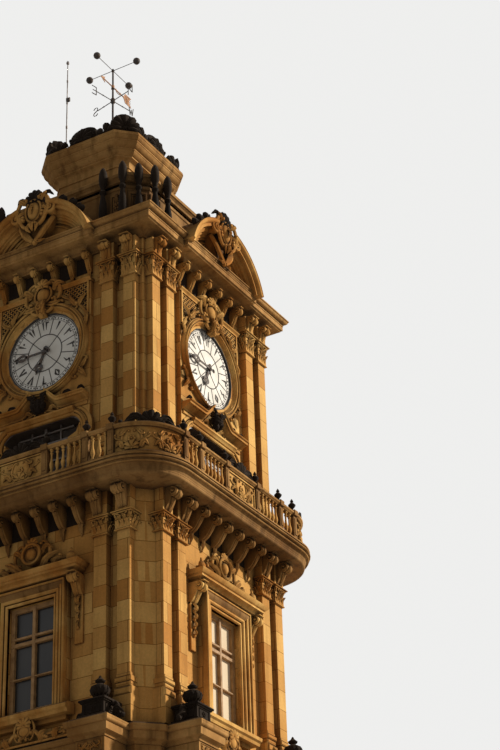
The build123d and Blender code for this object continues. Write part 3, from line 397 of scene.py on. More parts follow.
looked_at = calculate(
    ground_nodes.new, ground_link, "MAXIMUM", straight.outputs["Is Camera Ray"],
    straight.outputs["Is Glossy Ray"]
)
paper_tint = blend_colours(ground_nodes.new, ground_link, looked_at, (0.32, 0.32, 0.32), (0.86, 0.86, 0.85))
ground_link(paper_tint, ground_shader.inputs["Base Color"])
floor.data.materials.append(ground)

glass, glass_nodes, glass_link, glass_shader = new_material("window_glass")
glass_where = glass_nodes.new("ShaderNodeTexCoord").outputs["Object"]
ripple = cloud(glass_nodes.new, glass_link, glass_where, 1.6, 2.0)
glass_tint = blend_colours(glass_nodes.new, glass_link, ripple, (0.012, 0.012, 0.013), (0.04, 0.035, 0.03))
# On the sunny right side the panes are painted pale and warm, a painted reflection of the bright sky.
glass_place = glass_nodes.new("ShaderNodeSeparateXYZ")
glass_link(glass_where, glass_place.inputs[0])
sunlit_side = spread(glass_nodes.new, glass_link, glass_place.outputs[0], 1.9, 2.0)
painted_reflection = blend_colours(glass_nodes.new, glass_link, ripple, (0.70, 0.56, 0.38), (0.86, 0.75, 0.56))
glass_tint = blend_colours(glass_nodes.new, glass_link, sunlit_side, glass_tint, painted_reflection)
glass_link(glass_tint, glass_shader.inputs["Base Color"])
glass_shader.inputs["Roughness"].default_value = 0.25
glass_shader.inputs["Specular IOR Level"].default_value = 0.25
roughen(glass_nodes.new, glass_link, ripple, 0.08, 0.02, glass_shader)

SIDES = ("front", "right", "back", "left")
finishes = {}
for finish, names in (
    (rusticated, "base_steps"),
    (moulded, "podium_cornice second_floor second_entablature third_floor window_hoods pediments"),
    (smoked_and_shaded, "attic crown_cap crown_ornaments"), (blackened_and_shade, "balustrade_finials cornice_finials"),
    (limestone, "second_storey_columns"), (opal, "clock_dials"), (glass, "window_glazing"),
    (wood, "entrance_door balcony_doors"), (iron, "vane_mast anemometer_rotor"),
    (bright_iron, "lightning_rod"), (gilt, "wind_arrow")
):
    finishes.update({name: finish for name in names.split()})
for side in SIDES:
    finishes[f"podium_wall_{side}"] = rusticated
    for storey in ("second", "window", "clock"):
        finishes[f"{storey}_wall_{side}"] = limestone
    for hand in ("hour", "minute"):
        finishes[f"{hand}_hand_{side}"] = iron
for node_name, node in nodes.items():
    finish = finishes.get(node_name, carved)
    node.data.materials.clear()
    node.data.materials.append(finish)
print("finished solids:", len(nodes))

# %% [markdown]
# ## A carver's kit
# Carving on a wall is drawn as on paper: u runs across the front side, v is the height above the
# ground, and w is the distance out from the tower's axis. A Relief collects such forms. Almost
# everything a baroque carver cuts is a strip that swells and curls: a scroll, a leaf, a garland or
# a moulding differ only in their line, their width and their section.

# %% Write the carving helpers
FINE_ROUND = [(math.cos(a), math.sin(a)) for a in np.linspace(0, 2 * math.pi, 13)[:-1]]
HALF_ROUND = [(-1, -0.1), (-0.75, 0.66), (0, 1), (0.75, 0.66), (1, -0.1)]
LEAF = [(-1, 0.25), (-0.55, 0.9), (0, 0.4), (0.55, 0.9), (1, 0.25), (0, -0.35)]
FILLET = [(-1, 0), (-1, 1), (1, 1), (1, 0)]


def grid_faces(rows, step, closed=False):
    """Faces between the rows of a grid whose rows close on themselves, with its ends if it is open."""
    faces = []
    for row in range(rows if closed else rows - 1):
        after = (row + 1) % rows
        for col in range(step):
            beside = (col + 1) % step
            faces.append((row * step + col, row * step + beside, after * step + beside, after * step + col))
    if not closed:
        faces += [tuple(range(step)), tuple(range((rows - 1) * step, rows * step))]
    return faces


def rectangle(half, low, high):
    """The corners of a rectangle about the middle line."""
    return [(-half, low), (half, low), (half, high), (-half, high)]


def both_edges(edge):
    """A profile from its right edge, going up, mirrored to the left."""
    return [(-side, out) for side, out in edge] + edge[::-1]


def bar_profile(half, low, high):
    """The profile of a square bar, as (side, distance out)."""
    return both_edges([(half, low), (half, high)])


def fillet_profile(half, low, high, flat):
    """The profile of a bar with sloping edges; its flat top is a share of its width."""
    return both_edges([(half, low), (half, high - 0.02), (flat * half, high)])


class Relief:
    """Carving drawn on the front side as (across, height, distance out), in metres."""

    def __init__(self):
        self.points = []
        self.faces = []

    def add(self, points, faces):
        """Add points and the faces that join them."""
        start = len(self.points)
        self.points += [tuple(float(value) for value in point) for point in points]
        self.faces += [tuple(start + index for index in face) for face in faces]

    def strip(self, path, widths, heights, section=HALF_ROUND, closed=False):
        """Sweep a section along a path; its first axis lies across the path and the other out."""
        path = np.asarray(path, float)
        if closed:
            tangent = np.roll(path, -1, 0) - np.roll(path, 1, 0)
        else:
            tangent = np.gradient(path, axis=0)
        tangent /= np.maximum(np.linalg.norm(tangent, axis=1, keepdims=True), 1e-9)
        across_path = np.cross(tangent, (0, 0, 1.0))
        size = np.linalg.norm(across_path, axis=1, keepdims=True)
        across_path = np.where(size > 1e-3, across_path / np.maximum(size, 1e-9), (1.0, 0, 0))
        lift = np.cross(across_path, tangent)
        widths = np.broadcast_to(widths, len(path))
        heights = np.broadcast_to(heights, len(path))
        points = [
            point + across_path[row] * a * widths[row] + lift[row] * b * heights[row] for row,
            point in enumerate(path) for a, b in section
        ]
        self.add(points, grid_faces(len(path), len(section), closed))

    def moulding(self, path, profile, closed=False):
        """Run a closed profile of (side, out) points along a flat path, mitred at its corners."""
        path = np.asarray(path, float)
        count = len(path)
        before = np.roll(path, 1, 0)
        after = np.roll(path, -1, 0)
        if not closed:
            before[0] = 2 * path[0] - path[1]
            after[-1] = 2 * path[-1] - path[-2]
        arriving = path - before
        leaving = after - path
        arriving /= np.maximum(np.linalg.norm(arriving, axis=1, keepdims=True), 1e-9)
        leaving /= np.maximum(np.linalg.norm(leaving, axis=1, keepdims=True), 1e-9)
        first = np.stack((-arriving[:, 1], arriving[:, 0]), 1)
        second = np.stack((-leaving[:, 1], leaving[:, 0]), 1)
        mitre = (first + second) / np.maximum(1 + (first * second).sum(1, keepdims=True), 0.15)
        points = [(*(spot + bend * side), out) for spot, bend in zip(path, mitre) for side, out in profile]
        self.add(points, grid_faces(count, len(profile), closed))

    def plate(self, outline, low, high, bevel=0.0):
        """A flat outline standing between two distances out, with a bevelled front edge."""
        outline = np.asarray(outline, float)
        middle = outline.mean(0)
        spans = np.abs(outline - middle).max(0)
        inner = middle + (outline - middle) * (1 - bevel / np.maximum(spans, 1e-6))
        count = len(outline)
        points = [(*spot, low) for spot in outline]
        points += [(*spot, high - bevel) for spot in outline]
        points += [(*spot, high) for spot in inner]
        faces = [tuple(range(count)), tuple(range(2 * count, 3 * count))]
        for layer in (0, count):
            for index in range(count):
                beside = (index + 1) % count
                faces.append((layer + index, layer + beside, layer + count + beside, layer + count + index))
        self.add(points, faces)

    def slab(self, profile, u0, u1):
        """A side outline of (distance out, height) that runs across from u0 to u1."""
        count = len(profile)
        points = [(u0, v, w) for w, v in profile] + [(u1, v, w) for w, v in profile]
        faces = [tuple(range(count)), tuple(range(count, 2 * count))]
        for index in range(count):
            beside = (index + 1) % count
            faces.append((index, beside, count + beside, count + index))
        self.add(points, faces)

    def block(self, u0, u1, v0, v1, w0, w1, bevel=0.0):
        """A squared block."""
        self.plate([(u0, v0), (u1, v0), (u1, v1), (u0, v1)], w0, w1, bevel)

    def boss(self, centre, size, rings=4, around=10):
        """Half an egg standing out from a face."""
        points = []
        for ring in range(rings):
            angle = math.pi / 2 * ring / rings
            for step in range(around):
                turn = 2 * math.pi * step / around
                points.append(
                    (
                        centre[0] + size[0] * math.cos(angle) * math.cos(turn),
                        centre[1] + size[1] * math.cos(angle) * math.sin(turn),
                        centre[2] + size[2] * math.sin(angle)
                    )
                )
        points.append((centre[0], centre[1], centre[2] + size[2]))
        faces = [tuple(range(around)), *grid_faces(rings, around)[:-2]]
        last = (rings - 1) * around
        faces += [(last + step, last + (step + 1) % around, len(points) - 1) for step in range(around)]
        self.add(points, faces)

    def leaves(self, hand, *rows):
        """Leaves on one side; each row is a width and the line of its leaf."""
        for wide, *line in rows:
            self.leaf([(hand * u, v, w) for u, v, w in line], wide)

    def rosette(self, centre, radius, petals=6, out=0.4):
        """A round flower: a button ringed by petals."""
        u, v, w = centre
        for petal in range(petals):
            turn = 2 * math.pi * petal / petals
            spot = (u + 0.62 * radius * math.cos(turn), v + 0.62 * radius * math.sin(turn), w)
            self.boss(spot, (0.4 * radius, 0.4 * radius, out * radius), 2, 6)
        self.boss(centre, (0.36 * radius, 0.36 * radius, 0.75 * out * radius * 2), 3, 8)

    def leaf(self, path, width, lobes=4, thick=0.32, rows=13):
        """An acanthus leaf along a path from its root to its tip."""
        path = resample(path, rows)
        along = np.linspace(0, 1, rows)
        form = np.sin(math.pi * (0.12 + 0.88 * along) ** 0.75) ** 0.7
        scallop = 1 - 0.32 * np.abs(np.cos(math.pi * lobes * along))
        widths = width / 2 * np.maximum(form * scallop, 0.08)
        heights = width * thick * np.maximum(form, 0.2)
        self.strip(path, widths, heights, LEAF)

    def scroll(self, start, end, kind="c", hand=1, radius=0.03, out=0.0, rows=30):
        """A scroll between two points (across, height) whose both ends curl in."""
        path = scroll_line(start, end, kind, hand, rows)
        along = np.abs(np.linspace(-1, 1, rows))
        radii = radius * (1 - 0.45 * along**2)
        level_path = np.column_stack((path, np.full(rows, out)))
        self.strip(level_path, radii, radii * 1.25)
        for tip in (level_path[0], level_path[-1]):
            self.boss(tip, (1.15 * radius, 1.15 * radius, 1.5 * radius), 3, 8)

    def volute(self, centre, radius, hand=1, start=90, turns=1.9, out=0.0, thick=0.26, rows=34):
        """A spiral that winds inwards to its eye; it begins at an angle on its outer radius."""
        along = np.linspace(0, 1, rows)
        angle = math.radians(start) + hand * 2 * math.pi * turns * along
        reach = radius * (1 - 0.86 * along**0.8)
        path = np.column_stack(
            (
                centre[0] + reach * np.cos(angle), centre[1] + reach * np.sin(angle),
                out + 0.25 * radius * along
            )
        )
        widths = radius * thick * (1 - 0.6 * along)
        self.strip(path, widths, widths * 1.2)
        self.boss((*centre, out + 0.1 * radius), (0.28 * radius, 0.28 * radius, 0.45 * radius), 3, 8)

    def shell(self, foot, radius, out, ribs=7, spread_angle=200, rise=1.0, depth=0.18):
        """A scallop shell: a fan of swelling ribs that rises from its foot."""
        for rib in range(ribs):
            share = rib / (ribs - 1) - 0.5
            turn = math.radians(90 - share * spread_angle)
            reach = radius * (1 - 0.25 * abs(2 * share) ** 2)
            along = np.linspace(0.12, 1, 7)
            bulge = np.sin(math.pi * along * 0.92) * depth * radius
            path = np.column_stack(
                (
                    foot[0] + reach * along * math.cos(turn), foot[1] + reach * along * math.sin(turn) * rise,
                    out + bulge
                )
            )
            wide = reach * math.radians(spread_angle) / ribs * 0.56
            self.strip(path, wide * along + 0.006, (wide * along + 0.006) * 0.9)
        self.boss((*foot, out), (radius * 0.22, radius * 0.2, depth * radius * 1.4), 3, 8)

    def cartouche(self, centre, width, height, out, rim=0.16):
        """An oval shield in a rim of scrolls, with a shell over it and leaves under it."""
        u, v = centre
        self.boss((u, v, out), (0.36 * width, 0.36 * height, 0.20 * width), 4, 16)
        turn = np.linspace(0, 2 * math.pi, 29)[:-1]
        ring = np.column_stack(
            (u + 0.38 * width * np.cos(turn), v + 0.38 * height * np.sin(turn), np.full(28, out + 0.02))
        )
        self.strip(ring, rim * width * 0.35, rim * width * 0.5, closed=True)
        for hand in (-1, 1):
            self.scroll(
                (u + hand * 0.20 * width, v + 0.50 * height), (u + hand * 0.26 * width, v - 0.46 * height),
                "c", -hand, rim * width * 0.42, out + 0.01
            )
            self.leaf(
                [
                    (u + hand * 0.08 * width, v - 0.36 * height, out + 0.02),
                    (u + hand * 0.2 * width, v - 0.50 * height, out + 0.06),
                    (u + hand * 0.12 * width, v - 0.62 * height, out + 0.03)
                ],
                0.24 * width
            )
        self.shell((u, v + 0.38 * height), 0.30 * width, out + 0.03, 5, 170)

    def lattice(self, corners, pitch, bar, out):
        """Crossed bars cut to a convex outline."""
        corners = np.asarray(corners, float)
        for slope in (1, -1):
            direction = np.array((1.0, slope)) / math.sqrt(2)
            normal_way = np.array((-direction[1], direction[0]))
            shares = corners @ normal_way
            for index in range(math.ceil(shares.min() / pitch), math.floor(shares.max() / pitch) + 1):
                ends = cut_line(corners, normal_way, index * pitch, direction)
                if ends is None:
                    continue
                path = [(*ends[0], out), (*ends[1], out)]
                self.strip(path, bar / 2, bar * 0.8, FILLET)

    def mirrored(self):
        """Add the same carving again on the other side of the middle."""
        count = len(self.points)
        self.points += [(-u, v, w) for u, v, w in self.points]
        self.faces += [tuple(count + index for index in reversed(face)) for face in self.faces]
        return self

    def moved(self, u=0.0, v=0.0, w=0.0):
        """Shift everything drawn so far."""
        self.points = [(a + u, b + v, c + w) for a, b, c in self.points]
        return self

    def join(self, other, u=0.0):
        """Add another carving, shifted across."""
        self.add([(a + u, b, c) for a, b, c in other.points], other.faces)
        return self


def turned_about(relief, degrees):
    """A copy of a carving, turned to the right about an upright axis in the middle."""
    c = math.cos(math.radians(degrees))
    s = math.sin(math.radians(degrees))
    copy = Relief()
    copy.add([(u * c + w * s, v, w * c - u * s) for u, v, w in relief.points], relief.faces)
    return copy


def on_flank(relief, hand):
    """A carving drawn on a side view, with distance out as its across, put on a flank."""
    copy = Relief()
    copy.add([(hand * w, v, u) for u, v, w in relief.points], relief.faces)
    return copy


def resample(path, rows):
    """Round a short list of points into a smooth line with a given number of points."""
    path = np.asarray(path, float)
    if len(path) == 2:
        share = np.linspace(0, 1, rows)[:, None]
        return path[0] * (1 - share) + path[1] * share
    padded = np.vstack((2 * path[0] - path[1], path, 2 * path[-1] - path[-2]))
    spots = np.linspace(0, len(path) - 1 - 1e-9, rows)
    line = []
    for spot in spots:
        index = int(spot)
        t = spot - index
        a, b, c, d = padded[index : index + 4]
        line.append(
            0.5 * (2 * b + (c - a) * t + (2 * a - 5 * b + 4 * c - d) * t**2 + (3 * b - a - 3 * c + d) * t**3)
        )
    return np.array(line)


def scroll_line(start, end, kind, hand, rows):
    """The line of a scroll: its curvature grows towards both ends, so they curl."""
    s = np.linspace(-1, 1, rows * 4)
    curvature = 1.0 + 17.0 * np.abs(s) ** 5
    if kind == "s":
        curvature = np.sign(s) * (1.4 * np.abs(s) + 17.0 * np.abs(s) ** 5)
    heading = np.cumsum(curvature) * (s[1] - s[0]) * hand
    line = np.column_stack((np.cumsum(np.cos(heading)), np.cumsum(np.sin(heading))))
    line = line[:: 4][:rows]
    complex_line = line[:, 0] + 1j * line[:, 1]
    span = complex_line[-1] - complex_line[0]
    wanted = complex(end[0] - start[0], end[1] - start[1])
    fitted = (complex_line - complex_line[0]) / span * wanted + complex(*start)
    return np.column_stack((fitted.real, fitted.imag))


def cut_line(corners, normal_way, offset, direction):
    """The stretch of a line that lies inside a convex outline, or None."""
    hits = []
    for index, first in enumerate(corners):
        second = corners[(index + 1) % len(corners)]
        a = first @ normal_way - offset
        b = second @ normal_way - offset
        if a * b < 0:
            hits.append(first + (second - first) * a / (a - b))
    if len(hits) < 2:
        return None
    hits.sort(key=lambda spot: float(spot @ direction))
    if np.linalg.norm(hits[-1] - hits[0]) < 0.03:
        return None
    return hits[0], hits[-1]


def arc(centre, radius, start, end, rows=24):
    """Points on an arc in the drawing's plane; the angles are in degrees."""
    turn = np.radians(np.linspace(start, end, rows))
    return list(zip(centre[0] + radius * np.cos(turn), centre[1] + radius * np.sin(turn)))


def circle(centre, radius, count):
    """Points evenly round a circle, anticlockwise from its right."""
    return arc(centre, radius, 0, 360, count + 1)[:-1]


print("the carver's kit is ready")

# %% [markdown]
# ## From drawing to mesh, and around the tower
# A drawn relief becomes a mesh whose faces are turned outwards. A Geometry Nodes tree then sets a
# piece on each of a host's points and repeats the whole set about the tower's axis. It ends in
# Realize Instances and Set Material, and the result is kept as a plain mesh.


# %% Turn reliefs into meshes
def make_object(name, points, faces, sharp=32):
    """Make a closed mesh object, its faces outwards and its edges sharp past an angle."""
    mesh = bpy.data.meshes.new(name)
    mesh.from_pydata([tuple(map(float, point)) for point in points], [], faces)
    tidy = bmesh.new()
    tidy.from_mesh(mesh)
    bmesh.ops.recalc_face_normals(tidy, faces=tidy.faces)
    tidy.to_mesh(mesh)
    tidy.free()
    mesh.shade_smooth()
    mesh.set_sharp_from_angle(angle=math.radians(sharp))
    piece = bpy.data.objects.new(name, mesh)
    bpy.context.scene.collection.objects.link(piece)
    return piece


def carve(name, relief, sharp=32):
    """Make the mesh of a relief on the front side."""
    return make_object(name, [(u, -w, v) for u, v, w in relief.points], relief.faces, sharp)


def set_out_tree():
    """The tree that sets a piece on points and repeats the set about the tower's axis."""
    tree = bpy.data.node_groups.new("set_out_and_turn", "GeometryNodeTree")
    tree.is_modifier = True
    socket = tree.interface.new_socket
    for name, kind in (
        ("Geometry", "Geometry"), ("Piece", "Object"), ("Repeats", "Int"), ("Turn Between", "Float"),
        ("First Turn", "Float"), ("Finish", "Material")
    ):
        socket(name=name, in_out="INPUT", socket_type="NodeSocket" + kind)
    socket(name="Geometry", in_out="OUTPUT", socket_type="NodeSocketGeometry")
    add = tree.nodes.new
    given = add("NodeGroupInput").outputs
    result = add("NodeGroupOutput")
    piece = add("GeometryNodeObjectInfo")
    on_points = add("GeometryNodeInstanceOnPoints")
    axis_points = add("GeometryNodePoints")
    index = add("GeometryNodeInputIndex")
    scaled = add("ShaderNodeMath")
    scaled.operation = "MULTIPLY_ADD"
    turn = add("ShaderNodeCombineXYZ")
    own_turn = add("GeometryNodeInputNamedAttribute")
    own_turn.data_type = "FLOAT_VECTOR"
    own_turn.inputs["Name"].default_value = "turn"
    around = add("GeometryNodeInstanceOnPoints")
    realize = add("GeometryNodeRealizeInstances")
    finish = add("GeometryNodeSetMaterial")
    for start, end in (
        (given["Piece"], piece.inputs["Object"]), (given["Geometry"], on_points.inputs["Points"]),
        (piece.outputs["Geometry"], on_points.inputs["Instance"]),
        (own_turn.outputs["Attribute"], on_points.inputs["Rotation"]),
        (given["Repeats"], axis_points.inputs["Count"]), (index.outputs[0], scaled.inputs[0]),
        (given["Turn Between"], scaled.inputs[1]), (given["First Turn"], scaled.inputs[2]),
        (scaled.outputs[0], turn.inputs["Z"]), (axis_points.outputs[0], around.inputs["Points"]),
        (on_points.outputs[0], around.inputs["Instance"]), (turn.outputs[0], around.inputs["Rotation"]),
        (around.outputs[0], realize.inputs["Geometry"]), (realize.outputs[0], finish.inputs["Geometry"]),
        (given["Finish"], finish.inputs["Material"]), (finish.outputs[0], result.inputs[0])
    ):
        tree.links.new(start, end)
    return tree


SET_OUT = set_out_tree()
QUARTERS = (0, 90, 180, 270)
made = {}


def grow(name, host, tree, values):
    """Run a tree on a host and keep what it grows as a plain mesh object."""
    modifier = host.modifiers.new("growth", "NODES")
    modifier.node_group = tree
    for item in tree.interface.items_tree:
        if item.in_out == "INPUT" and item.name in values:
            modifier[item.identifier] = values[item.name]
    bpy.context.view_layer.update()
    seen_host = host.evaluated_get(bpy.context.evaluated_depsgraph_get())
    mesh = bpy.data.meshes.new_from_object(seen_host)
    mesh.name = name
    host.modifiers.remove(modifier)
    bpy.data.objects.remove(host)
    grown = bpy.data.objects.new(name, mesh)
    bpy.context.scene.collection.objects.link(grown)
    return grown


def keep(piece, finish, body="tower", replaced=()):
    """Give a finished piece its body and the solids that it stands for."""
    if not piece.data.materials:
        piece.data.materials.append(finish)
    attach(piece, body)
    if replaced:
        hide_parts(*replaced)
    made[piece.name] = sum(len(face.vertices) - 2 for face in piece.data.polygons)
    return piece


def set_out(
    name, piece, finish, places=((0, 0, 0),), turns=None, repeats=4, first=0.0, body="tower", replaced=()
):
    """Set a piece on its places, each with its own turn, and on every side of the tower."""
    host_mesh = bpy.data.meshes.new("places")
    host_mesh.from_pydata([tuple(map(float, place)) for place in places], [], [])
    turning = host_mesh.attributes.new("turn", "FLOAT_VECTOR", "POINT")
    for index, turn in enumerate(turns or []):
        turning.data[index].vector = turn
    host = bpy.data.objects.new("places", host_mesh)
    bpy.context.scene.collection.objects.link(host)
    grown = grow(
        name, host, SET_OUT,
        {
            "Piece": piece, "Repeats": repeats, "Turn Between": math.pi / 2,
            "First Turn": math.radians(first), "Finish": finish
        }
    )
    bpy.data.objects.remove(piece)
    return keep(grown, finish, body, replaced)


def both(values):
    """Each place on both sides of the middle."""
    return [sign * value for value in values for sign in (-1, 1)]


def places(values, out=0.0):
    """Places on both sides of the front's middle, at a distance out from the axis."""
    return [(u, -out, 0) for u in both(values)]


print("set out and turn: inputs", [i.name for i in SET_OUT.interface.items_tree if i.in_out == "INPUT"])

# %% [markdown]
# ## Cornices that follow the plan
# A cornice is one outline run around the tower's plan. Offsetting the plan outwards by each of the
# outline's points keeps every corner mitred, whether it is square, cut or rounded, and gives
# smoother curves than the solids need for collision.


# %% Run mouldings around a plan
def four_sides(side):
    """One side's points of a plan, repeated round all four sides, anticlockwise."""
    points = []
    for c, s in ((1, 0), (0, 1), (-1, 0), (0, -1)):
        points += [(x * c - y * s, x * s + y * c) for x, y in side]
    return points


def square_plan(half, cut=0.0, corner=0.0, rows=8):
    """A square plan, its corners sharp, cut or rounded, from the front right anticlockwise."""
    if corner:
        inner = half - corner
        return four_sides([(inner + a, -inner + b) for a, b in arc((0, 0), corner, -90, 0, rows)])
    if cut:
        return four_sides([(half - cut, -half), (half, -half + cut)])
    return four_sides([(half, -half)])


def swell(start, end, bulge, rows=7):
    """Points of a hollow or swelling arc between two outline points, the first left out."""
    start = np.asarray(start, float)
    end = np.asarray(end, float)
    chord = end - start
    normal_way = np.array((chord[1], -chord[0]))
    share = np.linspace(0, 1, rows)[1:]
    return [tuple(start + chord * t + normal_way * bulge * 4 * t * (1 - t)) for t in share]


def run_cornice(name, plan_points, outline, back, finish, replaced=(), sharp=28):
    """Run an outline of (distance beyond the plan, height) round a plan as a closed ring."""
    ring = Relief()
    profile = [(-distance, height) for distance, height in outline]
    profile += [(back, outline[-1][1]), (back, outline[0][1])]
    ring.moulding(plan_points, profile, closed=True)
    return keep(make_object(name, ring.points, ring.faces, sharp), finish, replaced=replaced)


BREAK_HALF = 0.985
BREAK = 0.10


def broken_plan(half, break_half, depth):
    """A square plan whose middle stretches step forward."""
    step = [
        (-break_half, -half), (-break_half, -half - depth), (break_half, -half - depth), (break_half, -half)
    ]
    return four_sides([(-half, -half), *step])


bed_outline = [(0.04, 23.05), (0.04, 23.11)]
bed_outline += swell((0.06, 23.11), (0.20, 23.20), -0.2)
bed_outline += [
    (0.34, 23.215), (0.36, 23.245), (0.380, 23.25), (0.380, 23.345), (0.39, 23.35), (0.39, 23.375)
]
# The cornice mouldings take the weathered stone, darker with painted shade.
run_cornice(
    "main_cornice_mouldings", broken_plan(2.30, BREAK_HALF, BREAK), bed_outline, 0.55, weathered_and_shaded,
    ("main_cornice",)
)
crown_outline = [(0.36, 23.37), (0.375, 23.375), (0.38, 23.40)]
crown_outline += swell((0.385, 23.405), (0.470, 23.47), 0.24)
crown_outline += [(0.480, 23.475), (0.487, 23.48), (0.487, 23.505), (-0.18, 23.56)]
run_cornice("cornice_crown", square_plan(2.30), crown_outline, 0.50, weathered_and_shaded)

slab_low = [(-0.22, 17.45), (-0.17, 17.45)]
slab_low += swell((-0.17, 17.455), (-0.12, 17.53), 0.25)
slab_low += [(-0.115, 17.535), (-0.115, 17.56)]
slab_low += swell((-0.10, 17.565), (-0.055, 17.64), -0.22) + [(-0.055, 17.65)]
slab_high = [(-0.08, 17.645), (-0.035, 17.65)]
slab_high += swell((-0.035, 17.65), (-0.035, 17.685), 0.35)
slab_high += [(-0.045, 17.69), (-0.045, 17.715), (-0.015, 17.72)]
slab_high += swell((-0.015, 17.72), (-0.005, 17.765), 0.4)
slab_high += [(-0.02, 17.77), (-0.02, 17.785), (0.0, 17.79), (0.0, 17.82)]
slab_plan = square_plan(3.23, corner=1.13, rows=14)
# The slab's underside takes the smoked stone as painted shade under the slab; its upper mouldings take the
# weathered stone, also darker with painted shade.
run_cornice("balcony_slab_underside", slab_plan, slab_low, 1.0, smoked_and_shaded, ("balcony_slab",))
run_cornice("balcony_slab_mouldings", slab_plan, slab_high, 1.0, weathered_and_shaded)
print("cornices:", made)

# %% [markdown]
# ## The balustrade
# Two rails run between posts, and turned balusters stand between them. The middle of each side and
# the rounded corners have pierced scrollwork instead. A baluster is turned like a table leg, so it
# is an outline spun about its own axis, and the same small mesh is set on every place.


# %% Build the balustrade
def turned_piece(name, outline, around=16, sharp=35, ring=False):
    """Spin an outline of (radius, height) about the upright axis, closed by its ends or on itself."""
    points = []
    faces = []
    count = len(outline)
    for step in range(around):
        turn = 2 * math.pi * step / around
        points += [(r * math.cos(turn), r * math.sin(turn), z) for r, z in outline]
        after = (step + 1) % around
        for row in range(count if ring else count - 1):
            above = (row + 1) % count
            faces.append(
                (step * count + row, after * count + row, after * count + above, step * count + above)
            )
    if not ring:
        faces.append(tuple(step * count for step in range(around)))
        faces.append(tuple(step * count + count - 1 for step in range(around)))
    return make_object(name, points, faces, sharp)


RAIL_PLANE = 3.03
RAIL_FOOT = 17.82
RAIL_LOW_TOP = 17.93
RAIL_CAP_LOW = 18.44
RAIL_TOP = 18.53
POSTS = (0.58, 1.50, 2.07)
baluster_outline = [
    (0.040, 17.93), (0.040, 17.965), (0.026, 17.975), (0.022, 18.00), (0.036, 18.045), (0.044, 18.09),
    (0.040, 18.13), (0.024, 18.20), (0.018, 18.27), (0.020, 18.33), (0.032, 18.345), (0.032, 18.36),
    (0.020, 18.375), (0.026, 18.395), (0.040, 18.405), (0.040, 18.44)
]
baluster_spots = []
for first_post, last_post, count in ((0.58, 1.50, 6), (1.50, 2.07, 3)):
    clear = last_post - first_post - 0.13
    baluster_spots += [first_post + 0.065 + clear * (n + 0.5) / count for n in range(count)]
set_out(
    "turned_balusters", turned_piece("baluster", baluster_outline, 12), carved,
    places(baluster_spots, RAIL_PLANE)
)

rail_low = [
    (0.075, RAIL_FOOT), (0.085, RAIL_FOOT + 0.02), (0.085, RAIL_LOW_TOP - 0.02), (0.065, RAIL_LOW_TOP)
]
rail_cap = [(0.05, RAIL_CAP_LOW), (0.065, RAIL_CAP_LOW + 0.02), (0.085, RAIL_CAP_LOW + 0.035)]
rail_cap += [(0.09, RAIL_TOP - 0.025), (0.06, RAIL_TOP)]
rails = Relief()
rail_plan = square_plan(RAIL_PLANE, corner=0.93, rows=14)
for profile in (rail_low, rail_cap):
    rails.moulding(rail_plan, both_edges(profile), closed=True)
keep(
    make_object("balcony_rails", rails.points, rails.faces, 35), weathered_and_shaded,
    replaced=[f"balustrade_{side}" for side in SIDES]
)

post = Relief()
post.block(-0.065, 0.065, RAIL_LOW_TOP, RAIL_CAP_LOW, -0.065, 0.065, 0.004)
post.block(-0.04, 0.04, RAIL_LOW_TOP + 0.07, RAIL_CAP_LOW - 0.07, 0.06, 0.078, 0.006)
post.block(-0.072, 0.072, RAIL_TOP - 0.1, RAIL_TOP + 0.02, -0.095, 0.105, 0.006)
# The posts take the smoked stone as painted shade on their shadowed sides.
set_out("balustrade_posts", carve("post", post), smoked_and_shaded, places(POSTS, RAIL_PLANE))

finial_outline = [
    (0.050, RAIL_TOP), (0.052, RAIL_TOP + 0.025), (0.024, RAIL_TOP + 0.05), (0.022, RAIL_TOP + 0.075),
    (0.045, RAIL_TOP + 0.10), (0.075, RAIL_TOP + 0.145), (0.078, RAIL_TOP + 0.165), (0.050, RAIL_TOP + 0.195),
    (0.026, RAIL_TOP + 0.22), (0.036, RAIL_TOP + 0.245), (0.022, RAIL_TOP + 0.275), (0.004, RAIL_TOP + 0.305)
]
set_out(
    "spade_finials", turned_piece("finial", finial_outline, 14), blackened_and_shade, places(POSTS, RAIL_PLANE),
    replaced=["balustrade_finials"]
)


def scroll_panel(half, low, high, out):
    """Scrollwork on a panel: two C scrolls back to back, leaves between them and a rosette."""
    panel = Relief()
    tall = high - low
    middle = (low + high) / 2
    for hand in (-1, 1):
        panel.scroll(
            (hand * 0.12 * half, low + 0.12 * tall), (hand * 0.14 * half, high - 0.14 * tall), "c", hand,
            0.022, out
        )
        panel.scroll(
            (hand * 0.34 * half, low + 0.25 * tall), (hand * 0.88 * half, high - 0.25 * tall), "s", hand,
            0.024, out
        )
        panel.leaf(
            [
                (hand * 0.45 * half, low + 0.1 * tall, out), (hand * 0.62 * half, middle - 0.06, out + 0.03),
                (hand * 0.86 * half, low + 0.18 * tall, out + 0.01)
            ],
            0.13
        )
        panel.leaf(
            [
                (hand * 0.35 * half, high - 0.1 * tall, out), (hand * 0.55 * half, middle + 0.1, out + 0.03),
                (hand * 0.62 * half, high - 0.12 * tall, out + 0.01)
            ],
            0.11
        )
        panel.rosette((hand * 0.93 * half, low + 0.72 * tall, out), 0.05)
    panel.rosette((0, middle, out), 0.085, 7)
    panel.shell((0, low + 0.02), 0.14, out, 5, 170)
    return panel


backing = Relief()
backing.block(-0.515, 0.515, RAIL_LOW_TOP, RAIL_CAP_LOW, -0.022, 0.012, 0.0)
backing.moulding(rectangle(0.49, 17.96, 18.41), bar_profile(0.014, 0.0, 0.035), closed=True)
backing.join(scroll_panel(0.46, 17.97, 18.40, 0.012))
set_out("middle_scroll_panels", carve("middle_panel", backing), carved, [(0, -RAIL_PLANE, 0)])


